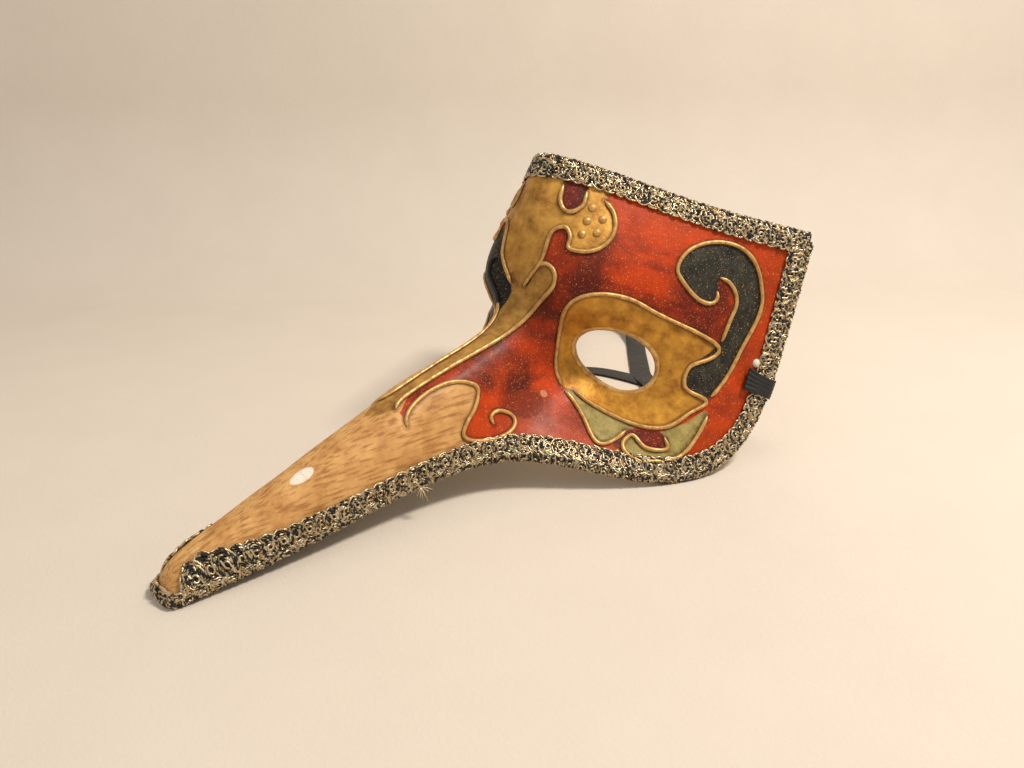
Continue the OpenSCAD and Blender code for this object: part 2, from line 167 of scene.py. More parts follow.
def across(t, s):
    """Slope of the face towards the wearer's left, per column."""
    return summed(t, s, weights, weight_slopes, True)


def outward(t, s):
    """Normal of the face: the slope across, crossed with the slope along."""
    return unit(np.cross(across(t, s), along(t, s)))


def solved(t, s, v):
    """How far a step v leads along rows and columns, by least squares of the two slopes."""
    a, c = along(t, s), across(t, s)
    aa, ac, cc = (a * a).sum(-1), (a * c).sum(-1), (c * c).sum(-1)
    av, cv = (a * v).sum(-1), (c * v).sum(-1)
    d = aa * cc - ac * ac + 1e-9
    return (av * cc - cv * ac) / d, (cv * aa - av * ac) / d


def eye_coordinates(points):
    """Points in the frame of the left eye's ellipse: along its long axis, its short axis and
    its outward axis, from its centre."""
    v = points - EYE_CENTRE
    x, y = v @ EYE_SIDE, v @ EYE_UP
    c, s = math.cos(EYE_TILT), math.sin(EYE_TILT)
    return x * c + y * s, y * c - x * s, v @ EYE_OUT


def eye_places(x, y):
    """Newton steps to the places whose points have the ellipse coordinates x and y."""
    c, s = math.cos(EYE_TILT), math.sin(EYE_TILT)
    want = EYE_CENTRE + (x * c - y * s)[:, None] * EYE_SIDE + (x * s + y * c)[:, None] * EYE_UP
    t, q = np.full(len(x), EYE_START[0]), np.full(len(x), EYE_START[1])
    for _ in range(8):
        miss = face(t, q) - want
        a, b = along(t, q), across(t, q)
        m0, m1 = miss @ EYE_SIDE, miss @ EYE_UP
        v0, v1, w0, w1 = a @ EYE_SIDE, a @ EYE_UP, b @ EYE_SIDE, b @ EYE_UP
        d = v0 * w1 - v1 * w0
        t, q = t - (m0 * w1 - m1 * w0) / d, q - (m1 * v0 - m0 * v1) / d
    return t, q


def smooth(points, k, closed=False):
    """Catmull-Rom curve through the points, with k pieces between two of them."""
    p = np.asarray(points, float)
    n = len(p)
    i = np.arange(n if closed else n - 1)
    near = [(i + o) % n if closed else np.clip(i + o, 0, n - 1) for o in (-1, 0, 1, 2)]
    a, b, c, d = (p[k_][:, None] for k_ in near)
    f = (np.arange(k) / k)[None, :, None]
    curve = b + f * (c - a + f * (2 * a - 5 * b + 4 * c - d + f * (3 * b - a - 3 * c + d))) / 2
    curve = curve.reshape(-1, p.shape[1])
    return curve if closed else np.vstack([curve, p[-1:]])


def lengths(points):
    """Distance along a line of points, from its first."""
    return np.concatenate([[0], np.cumsum(np.linalg.norm(np.diff(points, axis=0), axis=1))])


def evenly(places, step):
    """Places along a curve on the face, the same true distance apart."""
    travelled = lengths(face(places[:, 0], places[:, 1]))
    wanted = np.linspace(0, travelled[-1], max(4, int(travelled[-1] / step) + 1))
    return np.stack([np.interp(wanted, travelled, places[:, k]) for k in (0, 1)], -1), wanted


def random_lattice(cells, seed):
    """A repeatable random number from -1 to 1 for each whole-numbered cell."""
    x, y, z = cells[..., 0], cells[..., 1], cells[..., 2]
    h = (x * 73856093 ^ y * 19349663 ^ z * 83492791 ^ seed * 26544357) & 0xFFFFFFFF
    h = ((h ^ (h >> 13)) * 1274126177) & 0xFFFFFFFF
    h ^= h >> 16
    return (h & 0xFFFF) / 32767.5 - 1


def uneven(points, size, seed):
    """Value noise: random numbers on a lattice of the given size, blended smoothly."""
    q = points / size
    cell = np.floor(q).astype(np.int64)
    f = q - cell
    f = f * f * (3 - 2 * f)
    total = 0
    for dx in (0, 1):
        for dy in (0, 1):
            for dz in (0, 1):
                w = np.abs((1 - dx - f[..., 0]) * (1 - dy - f[..., 1]) * (1 - dz - f[..., 2]))
                total = total + w * random_lattice(cell + np.array([dx, dy, dz]), seed)
    return total


# ---------------------------------------------------------------------------------------
# Lines of the relief, as places (row, column) on the wearer's left half

def swirl(c, r, a, stretch, n):
    """Part of a spiral round the place c: the radius in rows and the angle in degrees each go
    evenly from first to second, and it is stretch times as wide along the columns."""
    radius = np.linspace(r[0], r[1], n + 1)
    angle = np.radians(np.linspace(a[0], a[1], n + 1))
    bent = np.stack([c[0] + radius * np.cos(angle), c[1] + stretch * radius * np.sin(angle)], -1)
    return [tuple(place) for place in bent]


# Round the socket on the nose side, then along the brow to its point and back under the eye
SOCKET_SIDE = swirl((7.5, 3.6), (1.4, 1.4), (180, 360), 1.07, 10)
BROW_POINT = [(9.2, 4.7), (8.6, 4.5), (8.3, 4.7), (8.5, 5.1)]
UNDER_EYE = swirl((7.75, 3.6), (1.55, 1.55), (75, 170), 1, 5)
EYE_OUTLINE = SOCKET_SIDE + BROW_POINT + UNDER_EYE
TEMPLE_SCROLL = [(8.6, 5.1), (9.4, 5.1)] + swirl(
    (9.9, 4.3), (0.8, 0.6), (80, -100), 1.2, 8) + swirl(
    (9.9, 4.2), (0.4, 0.1), (-130, -260), 1.2, 4)
TEMPLE_INNER = swirl((9.85, 4.4), (0.25, 0.25), (-20, 90), 1.3, 4) + [(9.6, 4.7), (9.3, 4.7)]
CHEEK_PANEL = [(6.1, 3.8), (6.25, 4.7), (6.4, 5.4), (6.9, 5.1)]
CHEEK_HOOK = [(7.15, 5.45), (7.5, 5.5), (7.55, 5.3)]
CHEEK_SCROLL = [(8.4, 5.3), (7.7, 5.65)] + swirl(
    (7.05, 5.45), (0.3, 0.28), (70, 260), 0.9, 6) + CHEEK_HOOK
# A crescent round the beads, a small hook inside it, and a tail that runs down to the ridge
FOREHEAD_SCROLL = swirl((9.85, 1.75), (0.65, 0.65), (25, 185), 1, 6) + [(9.45, 1.65)] + swirl(
    (9.2, 1.5), (0.4, 0.4), (0, -90), 1, 4) + [(8.5, 1), (7.7, 0.4)]
FOREHEAD_NOTCH = [(10.5, 1.1)] + swirl((10.35, 1.4), (0.4, 0.4), (250, 110), 0.75, 6) + [
    (10.5, 1.65)]
# A curl, then a parabola that closes in on the ridge, then a short hook over the nose
RIDGE_LINE = swirl((8.3, 1.3), (0.3, 0.3), (-60, 90), 1.1, 5) + [
    (8 - 0.75 * k, 0.7 + 0.1 * (3 - 0.75 * k) ** 2) for k in range(5)] + [(4.3, 0.7), (4.1, 1.1)]
NOSE_ARCH = swirl((4.55, 2.5), (0.5, 0.5), (185, 360), 2.2, 8)
NOSE_SCROLL = NOSE_ARCH + [(4.9, 3.2), (4.7, 3.8)] + swirl(
    (4.95, 4.4), (0.36, 0.32), (190, -60), 2, 9) + [(5, 4), (5, 4.4)]
RELIEF = {"eye_outline": EYE_OUTLINE, "temple_scroll": TEMPLE_SCROLL,
          "temple_inner_line": TEMPLE_INNER, "cheek_panel": CHEEK_PANEL,
          "cheek_scroll": CHEEK_SCROLL, "forehead_scroll": FOREHEAD_SCROLL,
          "forehead_notch": FOREHEAD_NOTCH, "ridge_line": RIDGE_LINE, "nose_scroll": NOSE_SCROLL}
BEAD_PLACES = [(10.2 - 0.15 * k, 1.87 if k % 2 == 0 else 2.13) for k in range(5)]
SMALL_BEAD_PLACES = [(8.2, 1.1), (7.95, 1.1)]

# Painted areas: each follows the lines that bound it, and is closed by a few coarse places
GOLD_PANEL = [(11.4, -0.2), (11.4, 2.1)] + FOREHEAD_SCROLL + [(7.5, 0.3), (7.5, -0.2)]
RIDGE_BAND = [(8, -0.2), (8, 0.6)] + RIDGE_LINE + [(4.1, -0.2)]
SLATE_COMMA = TEMPLE_SCROLL + TEMPLE_INNER + BROW_POINT[1:]
OLIVE_PANEL = CHEEK_PANEL + UNDER_EYE[2:]
PALE_COMMA = CHEEK_SCROLL + [(7.5, 5.2), (8, 5.2), (8.4, 5.2)]
WINE_HOOK = [(6.6, 5.3), (6.9, 5.1), (7.3, 5.15), (7.5, 5.2)] + CHEEK_HOOK[::-1] + [
    (6.95, 5.2), (6.7, 5.5)]
WINE_NOTCH = [(11.2, 1)] + FOREHEAD_NOTCH + [(11.2, 1.7)]
TEARDROP = [(8.2, 0.8), (7.9, 0.5), (7.7, 0.5), (7.9, 0.7)]
TAN_NOSE = [(-1, -0.2), (4.1, -0.2), (4.1, 1.5)] + NOSE_ARCH + [
    (4.9, 3.2), (4.7, 3.8), (4.6, 4.5), (4.7, 5.2), (4.7, 6.5), (-1, 6.5)]
CHIP = swirl((2.85, 0.95), (0.14, 0.14), (0, 315), 4.5, 7)
WORN_CHEEK = swirl((5.5, 3.9), (0.25, 0.25), (0, 315), 2.4, 7)
DRIP = swirl((5.8, 3.7), (0.05, 0.05), (0, 315), 3, 7)
BLACK_SOCKET = swirl((8, 2.6), (1.6, 1.6), (0, 330), 1.5, 11)
SOCKET_LINE = [(9, 2.5), (8.2, 1.2), (7.8, 0.5)]


# ---------------------------------------------------------------------------------------
# Meshes

def volume(points, faces):
    """Signed volume: a sixth of the sum of the triple products of each face's fan."""
    total = 0
    for group in faces:
        for k in range(1, group.shape[1] - 1):
            a, b, c = points[group[:, 0]], points[group[:, k]], points[group[:, k + 1]]
            total += (a * np.cross(b, c)).sum()
    return total / 6


def add_piece(name, points, faces, materials, nodes=(), attributes=None, slots=None,
              closed=True):
    """Puts points, in millimetres, and groups of faces with equal corner counts into a mesh
    object that rides on the root. Faces are turned so that the volume is positive."""
    points = np.asarray(points, float)
    faces = [np.asarray(group, np.int64) for group in faces]
    if closed and volume(points - points.mean(0), faces) < 0:
        faces = [group[:, ::-1] for group in faces]
    mesh = bpy.data.meshes.new(name)
    mesh.vertices.add(len(points))
    mesh.vertices.foreach_set("co", (points * MM).astype(np.float32).ravel())
    corners = np.concatenate([group.ravel() for group in faces])
    counts = np.concatenate([np.full(len(group), group.shape[1]) for group in faces])
    mesh.loops.add(len(corners))
    mesh.loops.foreach_set("vertex_index", corners.astype(np.int32))
    mesh.polygons.add(len(counts))
    mesh.polygons.foreach_set("loop_start", (np.cumsum(counts) - counts).astype(np.int32))
    for key, values in (attributes or {}).items():
        values = np.asarray(values, np.float32)
        vector = values.ndim == 2
        layer = mesh.attributes.new(key, "FLOAT_VECTOR" if vector else "FLOAT", "POINT")
        layer.data.foreach_set("vector" if vector else "value", values.ravel())
    mesh.update(calc_edges=True)
    mesh.polygons.foreach_set("use_smooth", np.ones(len(counts), bool))
    for material in materials:
        mesh.materials.append(material)
    if slots is not None:
        mesh.polygons.foreach_set("material_index", np.asarray(slots, np.int32))
    mesh.update()
    piece = bpy.data.objects.new(name, mesh)
    bpy.context.scene.collection.objects.link(piece)
    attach(piece, "root")
    if nodes:
        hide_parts(*nodes)
    return piece


def grid_faces(n, m, start=0):
    """Four-cornered faces of a grid of n by m points."""
    a = start + (np.arange(n - 1)[:, None] * m + np.arange(m - 1)[None, :]).ravel()
    return np.stack([a, a + 1, a + m + 1, a + m], -1)


def tube_faces(n, m, start=0, looped=False):
    """Faces between n rings of m points, and the triangles of the two ends."""
    i = np.arange(n if looped else n - 1)[:, None]
    j = np.arange(m)[None, :]
    a, b = i * m + j, i * m + (j + 1) % m
    c, d = (i + 1) % n * m + (j + 1) % m, (i + 1) % n * m + j
    walls = start + np.stack([a, b, c, d], -1).reshape(-1, 4)
    if looped:
        return walls, np.zeros((0, 3), np.int64)
    k = np.arange(1, m - 1)
    first = np.stack([0 * k, k + 1, k], -1)
    last = (n - 1) * m + np.stack([0 * k, k, k + 1], -1)
    return walls, start + np.concatenate([first, last])


def sheet_faces(n, m):
    """Faces of a closed sheet: a top grid of n by m points, then a bottom grid, sewn round."""
    top = grid_faces(n, m)
    bottom = grid_faces(n, m, n * m)[:, ::-1]
    index = np.arange(n * m).reshape(n, m)
    border = np.concatenate([index[0, :-1], index[:-1, -1], index[-1, :0:-1], index[:0:-1, 0]])
    ahead = np.roll(border, -1)
    return np.concatenate([top, bottom, np.stack([ahead, border, border + n * m, ahead + n * m], -1)])


def tube(line, radius, sides, frame_up):
    """Rings round a line: a circle of the radius in the plane across it at each point."""
    ahead = unit(np.gradient(line, axis=0))
    side = unit(np.cross(ahead, frame_up))
    up = np.cross(side, ahead)
    a = np.arange(sides) * 2 * np.pi / sides
    r = np.broadcast_to(np.asarray(radius, float), (len(line),))[:, None, None]
    return line[:, None] + r * (side[:, None] * np.cos(a)[:, None] + up[:, None] * np.sin(a)[:, None])


def joined(parts):
    """One list of points and face groups from several (points, faces, attributes)."""
    points, quads, triangles, attributes, start = [], [], [], {}, 0
    for part_points, (q, tri), part_attributes in parts:
        points.append(part_points)
        quads.append(q + start)
        triangles.append(tri + start)
        for key, values in part_attributes.items():
            attributes.setdefault(key, []).append(values)
        start += len(part_points)
    faces = [group for group in (np.concatenate(quads), np.concatenate(triangles)) if len(group)]
    return np.concatenate(points), faces, {k: np.concatenate(v) for k, v in attributes.items()}


# ---------------------------------------------------------------------------------------
# Distances on the face, for the paint

# Depth of a place that is far outside a painted area, and more than any squared distance
NOWHERE, FAR = -50.0, 1e9

def distance_to(points, line):
    """Shortest distance from each point to a line of points, in millimetres."""
    best = np.full(len(points), FAR)
    for a, b in zip(line[:-1], line[1:]):
        v = b - a
        f = np.clip(((points - a) @ v) / (v @ v + 1e-12), 0, 1)
        best = np.minimum(best, ((points - a - f[:, None] * v) ** 2).sum(-1))
    return np.sqrt(best)


def is_within(t, s, outline):
    """Whether places lie in a closed outline, by counting the edges that a ray crosses."""
    odd = np.zeros(len(t), bool)
    for (t0, s0), (t1, s1) in zip(outline, np.roll(outline, -1, axis=0)):
        if t0 != t1:
            odd ^= ((t0 > t) != (t1 > t)) & (s < s0 + (t - t0) * (s1 - s0) / (t1 - t0))
    return odd


def depth_in(points, t, s, outline, k=3):
    """Signed distance in millimetres to a painted area's edge, positive within it. Edges past
    the centre line or the rim don't count."""
    ring = smooth(outline, k, closed=True)
    edge = face(ring[:, 0], np.clip(ring[:, 1], 0, LAST_COL))
    best = np.full(len(points), FAR)
    for i in range(len(ring)):
        if min(ring[i, 1], ring[i - 1, 1]) < 0 or max(ring[i, 1], ring[i - 1, 1]) > LAST_COL:
            continue
        best = np.minimum(best, distance_to(points, edge[[i - 1, i]]))
    return np.where(is_within(t, s, ring), best, -best)


# ---------------------------------------------------------------------------------------
# Materials

def new_group(name, inputs, outputs):
    """A shader node group with the given sockets, and its input and output nodes."""
    tree = bpy.data.node_groups.new(name, "ShaderNodeTree")
    for way, sockets in (("INPUT", inputs), ("OUTPUT", outputs)):
        for label, kind in sockets:
            tree.interface.new_socket(label, in_out=way, socket_type="NodeSocket" + kind)
    return tree, tree.nodes.new("NodeGroupInput").outputs, tree.nodes.new("NodeGroupOutput").inputs


def node(tree, kind, settings=None, **inputs):
    """A node with its settings, each input set to a value or linked to a socket."""
    made = tree.nodes.new("ShaderNode" + kind)
    for key, value in (settings or {}).items():
        setattr(made, key, value)
    for key, value in inputs.items():
        place = int(key[1:]) if key[1:].isdigit() else key.replace("_", " ")
        if isinstance(value, bpy.types.NodeSocket):
            tree.links.new(value, made.inputs[place])
        else:
            made.inputs[place].default_value = value
    return made


def maths(tree, operation, a, b=0.0, c=0.0):
    """The output of a Math node."""
    return node(tree, "Math", {"operation": operation}, i0=a, i1=b, i2=c).outputs[0]


def ramped(tree, value, low, high, to_low=0.0, to_high=1.0):
    """The value carried smoothly from one range to another, and held at its ends."""
    return node(tree, "MapRange", {"interpolation_type": "SMOOTHSTEP"}, Value=value, i1=low,
                i2=high, i3=to_low, i4=to_high).outputs[0]


def blended(tree, factor, a, b):
    """Colour a where the factor is 0 and colour b where it is 1."""
    return node(tree, "Mix", {"data_type": "RGBA"}, i0=factor, i6=a, i7=b).outputs[2]


def linear(r, g, b):
    """A colour given from 0 to 255 as it looks on a screen, as a scene colour."""
    return tuple((v / 255 / 12.92 if v <= 10 else ((v / 255 + 0.055) / 1.055) ** 2.4)
                 for v in (r, g, b)) + (1.0,)


def mottle_group():
    """Mottle: fractal noise at a size in millimetres, pushed apart by a contrast."""
    tree, given, out = new_group(
        "Mottle", [("Size", "Float"), ("Contrast", "Float")], [("Value", "Float")])
    where = node(tree, "TexCoord").outputs["Object"]
    scale = maths(tree, "DIVIDE", 1 / MM, given["Size"])
    noise = node(tree, "TexNoise", Vector=where, Scale=scale, Detail=6.0, Roughness=0.62)
    spread = maths(tree, "MULTIPLY", maths(tree, "SUBTRACT", noise.outputs[0], 0.5),
                   given["Contrast"])
    tree.links.new(node(tree, "Math", {"operation": "ADD", "use_clamp": True}, i0=spread,
                        i1=0.5).outputs[0], out["Value"])
    return tree


def layer_group():
    """Paint Layer: one more coat over what is below, where its depth is positive."""
    kinds = [("Colour", "Color"), ("Roughness", "Float"), ("Metal", "Float")]
    tree, given, out = new_group("Paint Layer", kinds + [
        ("Depth", "Float"), ("Wobble", "Float"), ("Mottle", "Float"), ("Light", "Color"),
        ("Dark", "Color"), ("New Roughness", "Float"), ("New Metal", "Float")], kinds)
    edge = maths(tree, "ADD", given["Depth"], given["Wobble"])
    mask = ramped(tree, edge, -0.25, 0.25)
    coat = blended(tree, given["Mottle"], given["Dark"], given["Light"])
    tree.links.new(blended(tree, mask, given["Colour"], coat), out["Colour"])
    for key in ("Roughness", "Metal"):
        step = maths(tree, "SUBTRACT", given["New " + key], given[key])
        tree.links.new(maths(tree, "MULTIPLY_ADD", step, mask, given[key]), out[key])
    return tree


GROUPS = {}


def shared(name, maker):
    """Each node group is made once."""
    if name not in GROUPS:
        GROUPS[name] = maker()
    return GROUPS[name]


def mottle(tree, size, contrast):
    """Value of the Mottle group, from 0 to 1."""
    return node(tree, "Group", {"node_tree": shared("Mottle", mottle_group)}, Size=size,
                Contrast=contrast).outputs[0]


def material(name, sheen=0.0, coat=0.0, gloss=0.5):
    """A new material, its node tree and its shader, with uniform values on the sockets."""
    made = bpy.data.materials.new(name)
    made.use_nodes = True
    shader = made.node_tree.nodes["Principled BSDF"]
    shader.inputs["Sheen Weight"].default_value = sheen
    shader.inputs["Coat Weight"].default_value = coat
    shader.inputs["Coat Roughness"].default_value = 0.25
    shader.inputs["Specular IOR Level"].default_value = gloss
    return made, made.node_tree, shader


def bumped(tree, shader, height, distance, strength=0.6):
    """Gives the shader a bump whose full height is the distance in millimetres."""
    bump = node(tree, "Bump", Height=height, Distance=distance * MM, Strength=strength)
    tree.links.new(bump.outputs[0], shader.inputs["Normal"])


def attribute(tree, name):
    """A number that the mesh holds at each of its points."""
    return node(tree, "Attribute", {"attribute_name": name}).outputs["Fac"]


# Each coat: its attribute, light and dark tones, roughness, metal and the mottle's size in mm
COATS = [
    ("tan_nose", (226, 178, 112), (184, 130, 74), 0.5, 0.0, 9.0),
    ("worn_cheek", (136, 44, 12), (112, 34, 12), 0.5, 0.0, 4.0),
    ("gold_panel", (226, 172, 82), (150, 100, 40), 0.4, 0.3, 7.0),
    ("ridge_band", (206, 156, 76), (128, 88, 38), 0.42, 0.3, 6.0),
    ("eye_gold", (228, 168, 64), (142, 88, 30), 0.36, 0.35, 8.0),
    ("olive_panel", (170, 156, 98), (116, 104, 56), 0.45, 0.2, 5.0),
    ("pale_comma", (186, 172, 108), (132, 116, 62), 0.45, 0.2, 5.0),
    ("slate_comma", (62, 62, 52), (13, 17, 17), 0.42, 0.05, 6.0),
    ("wine_hook", (136, 40, 22), (78, 22, 16), 0.42, 0.0, 4.0),
    ("wine_notch", (128, 42, 30), (70, 24, 20), 0.45, 0.0, 4.0),
    ("teardrop", (70, 40, 28), (34, 22, 18), 0.45, 0.0, 3.0),
    ("black_socket", (24, 27, 26), (9, 11, 11), 0.4, 0.0, 5.0),
    ("socket_gold", (126, 104, 84), (92, 74, 58), 0.45, 0.1, 3.0),
    ("chip", (246, 240, 230), (226, 214, 196), 0.8, 0.0, 3.0),
    ("drip", (208, 150, 110), (170, 96, 64), 0.35, 0.0, 2.0),
]


# Other colours, from 0 to 255 as they look on a screen
TONES = {
    "red_light": (198, 62, 6), "red_dark": (104, 30, 10), "red_sweep": (84, 20, 12),
    "red_stain": (80, 20, 12), "rim_orange": (210, 72, 6), "nose_grain": (150, 98, 52),
    "patina": (52, 26, 14), "gold_dust_and_glints": (214, 160, 92), "paper_light": (232, 222, 202),
    "paper_dark": (206, 190, 160), "relief_light": (232, 190, 118), "relief_dark": (168, 118, 54),
    "relief_foot_patina_and_shade": (48, 26, 12), "relief_black": (30, 31, 30), "foil_silver": (232, 220, 190),
    "foil_gold": (176, 140, 82), "thread_black": (20, 19, 20), "ribbon_light": (20, 21, 24),
    "ribbon_dark": (11, 12, 15), "tape_light": (29, 27, 26), "tape_dark": (20, 18, 17),
    "glue_light": (240, 234, 220), "glue_dark": (214, 204, 180),
    "backdrop_light": (224, 214, 201), "backdrop_dark": (216, 206, 193)}
for coat, light_tone, dark_tone, *_ in COATS:
    TONES[coat + "_light"], TONES[coat + "_dark"] = light_tone, dark_tone


def chosen(key):
    """The colour that is set in the add-on under this key, as a scene colour."""
    return linear(*(round(255 * v) for v in getattr(bpy.context.scene.mask_colours, key)))


def painted_paper():
    """Red ground that goes from orange to maroon, then each coat in turn, a darkening at the foot of
    the relief lines that is patina and painted shade, gold dust specks that are partly painted glints,
    brush streaks and a fine grain."""
    made, tree, shader = material("Painted paper", coat=0.05, gloss=0.2)
    cloud = mottle(tree, 30.0, 5.0)
    fine = mottle(tree, 5.0, 2.6)
    ground = blended(tree, cloud, chosen("red_dark"), chosen("red_light"))
    sweep = node(tree, "TexNoise", Vector=node(
        tree, "Attribute", {"attribute_name": "sweep"}).outputs["Vector"], Scale=1.0, Detail=5.0)
    ground = blended(tree, ramped(tree, sweep.outputs[0], 0.5, 0.68, 0.0, 0.75), ground,
                     chosen("red_sweep"))
    ground = blended(tree, ramped(tree, attribute(tree, "to_rim"), 8.0, 30.0, 0.55, 0.0), ground,
                     chosen("rim_orange"))
    ground = blended(tree, maths(tree, "MULTIPLY", fine, 0.22), ground, chosen("red_stain"))
    wobble = maths(tree, "MULTIPLY", maths(tree, "SUBTRACT", mottle(tree, 3.0, 1.0), 0.5), 0.9)
    below = {"Colour": ground, "Roughness": 0.4, "Metal": 0.0}
    for key, _, _, rough, metal, size in COATS:
        below = node(tree, "Group", {"node_tree": shared("Paint Layer", layer_group)},
                     Depth=attribute(tree, key), Wobble=wobble, Mottle=mottle(tree, size, 2.6),
                     Light=chosen(key + "_light"), Dark=chosen(key + "_dark"), New_Roughness=rough,
                     New_Metal=metal, **below).outputs
        below = {"Colour": below[0], "Roughness": below[1], "Metal": below[2]}
    streak = node(tree, "TexNoise", Vector=node(
        tree, "Attribute", {"attribute_name": "brush"}).outputs["Vector"], Scale=1.0, Detail=5.0)
    streaked = maths(tree, "MULTIPLY", ramped(tree, streak.outputs[0], 0.45, 0.7, 0.0, 0.75),
                     maths(tree, "MULTIPLY", ramped(tree, attribute(tree, "tan_nose"), 0.0, 2.0),
                           ramped(tree, attribute(tree, "chip"), -0.4, 0.0, 1.0, 0.0)))
    colour = blended(tree, streaked, below["Colour"], chosen("nose_grain"))
    # Dark patina and painted shade along the foot of each relief line
    foot = ramped(tree, attribute(tree, "to_line"), 1.0, 2.3, 0.95, 0.0)
    colour = blended(tree, maths(tree, "MULTIPLY", foot, mottle(tree, 4.0, 2.0)), colour,
                     chosen("patina"))
    # Pale gold specks: gold dust and glitter, with the glitter's glints painted in as highlights
    dust_and_glint_noise = node(tree, "TexNoise", Vector=node(tree, "TexCoord").outputs["Object"],
                Scale=1.6 / MM, Detail=2.0)
    specks_and_glints = ramped(tree, dust_and_glint_noise.outputs[0], 0.62, 0.7, 0.0, 0.6)
    colour = blended(tree, specks_and_glints, colour, chosen("gold_dust_and_glints"))
    tree.links.new(colour, shader.inputs["Base Color"])
    tree.links.new(below["Metal"], shader.inputs["Metallic"])
    tree.links.new(maths(tree, "MULTIPLY_ADD", fine, 0.16, below["Roughness"]),
                   shader.inputs["Roughness"])
    bumped(tree, shader, maths(tree, "ADD", mottle(tree, 2.2, 1.6), streaked), 0.25, 0.5)
    return made


def bare_paper():
    """Unpainted pulp on the inside: off-white, stained and rough."""
    made, tree, shader = material("Bare paper")
    stain = mottle(tree, 24.0, 2.4)
    tree.links.new(blended(tree, stain, chosen("paper_dark"), chosen("paper_light")),
                   shader.inputs["Base Color"])
    tree.links.new(ramped(tree, stain, 0.0, 1.0, 0.95, 0.82), shader.inputs["Roughness"])
    bumped(tree, shader, mottle(tree, 2.5, 2.0), 0.5, 0.8)
    return made


def piped_gold():
    """Gold paint on a raised line: bright on its crest, and brown at its foot, which is patina and
    painted shade.
    """
    made, tree, shader = material("Piped gold", coat=0.15)
    worn = mottle(tree, 2.5, 2.6)
    gold = blended(tree, worn, chosen("relief_dark"), chosen("relief_light"))
    # Darker towards the foot of the bead: patina and painted shade
    low = ramped(tree, attribute(tree, "crest"), 0.1, 0.6, 0.8, 0.0)
    aged_and_shaded = blended(tree, low, gold, chosen("relief_foot_patina_and_shade"))
    tree.links.new(blended(tree, attribute(tree, "blackened"), aged_and_shaded, chosen("relief_black")),
                   shader.inputs["Base Color"])
    tree.links.new(ramped(tree, worn, 0.0, 1.0, 0.25, 0.6), shader.inputs["Metallic"])
    tree.links.new(ramped(tree, worn, 0.0, 1.0, 0.52, 0.34), shader.inputs["Roughness"])
    bumped(tree, shader, mottle(tree, 1.2, 1.6), 0.15)
    return made


def lurex_thread():
    """Black cord wound with gold and silver foil that glints in short lengths."""
    made, tree, shader = material("Lurex thread")
    foil = ramped(tree, attribute(tree, "foil"), 0.42, 0.58)
    metal = blended(tree, mottle(tree, 2.0, 3.0), chosen("foil_gold"), chosen("foil_silver"))
    tree.links.new(blended(tree, foil, chosen("thread_black"), metal), shader.inputs["Base Color"])
    tree.links.new(maths(tree, "MULTIPLY", foil, 0.75), shader.inputs["Metallic"])
    tree.links.new(ramped(tree, foil, 0.0, 1.0, 0.7, 0.3), shader.inputs["Roughness"])
    bumped(tree, shader, mottle(tree, 0.6, 2.0), 0.1)
    return made


def woven_black(name, key):
    """Black weave: ribs across the strip, with a soft sheen."""
    made, tree, shader = material(name, sheen=0.04)
    strip = node(tree, "Attribute", {"attribute_name": "strip"}).outputs["Vector"]
    rib = node(tree, "TexWave", {"wave_type": "BANDS", "bands_direction": "X"}, Vector=strip,
               Scale=0.9, Distortion=0.6, Detail=1.0)
    tree.links.new(blended(tree, rib.outputs["Fac"], chosen(key + "_dark"), chosen(key + "_light")),
                   shader.inputs["Base Color"])
    tree.links.new(ramped(tree, mottle(tree, 6.0, 1.6), 0.0, 1.0, 0.45, 0.62),
                   shader.inputs["Roughness"])
    bumped(tree, shader, rib.outputs["Fac"], 0.12)
    return made


def dried_glue():
    """Glue that has dried glossy, a little yellow in the thick of it; its near-white tone is partly a
    painted highlight.
    """
    made, tree, shader = material("Dried glue", coat=0.6)
    # Near-white glue colour that also holds a painted highlight
    tree.links.new(blended(tree, mottle(tree, 1.5, 2.0), chosen("glue_light"),
                           chosen("glue_dark")), shader.inputs["Base Color"])
    shader.inputs["Roughness"].default_value = 0.22
    bumped(tree, shader, mottle(tree, 1.0, 1.5), 0.1)
    return made


def backdrop_cloth():
    """Pale cream backdrop with a very fine nap, which can be seen through from behind."""
    made, tree, shader = material("Backdrop cloth")
    tree.links.new(blended(tree, mottle(tree, 60.0, 1.2), chosen("backdrop_dark"),
                           chosen("backdrop_light")), shader.inputs["Base Color"])
    behind = node(tree, "NewGeometry").outputs["Backfacing"]
    tree.links.new(maths(tree, "SUBTRACT", 1.0, behind), shader.inputs["Alpha"])
    shader.inputs["Roughness"].default_value = 0.95
    bumped(tree, shader, mottle(tree, 1.6, 1.6), 0.3, 0.35)
    return made


MADE = {}


def finish_of(maker, *words):
    """Each material is made once and shared by the pieces that have it."""
    key = (maker.__name__,) + words
    if key not in MADE:
        MADE[key] = maker(*words)
    return MADE[key]


# ---------------------------------------------------------------------------------------
# Pieces

SHELL_T, BRAID_T, BRAID_W, BRAID_INNER_W = 2.4, 1.3, 9.0, 6.0
EYE_W, EYE_H, GAP = 39.0, 27.0, 0.1
GLUE_ROW, TAB_ROW = 9.62, 9.44
TIP_AIM, TIP_SHARE, TIP_INNER_SHARE, TIP_LEAN = np.array([1.0, 0.0]), 0.42, 0.25, 0.35
TIP_ROWS = (0.4, 1.2)

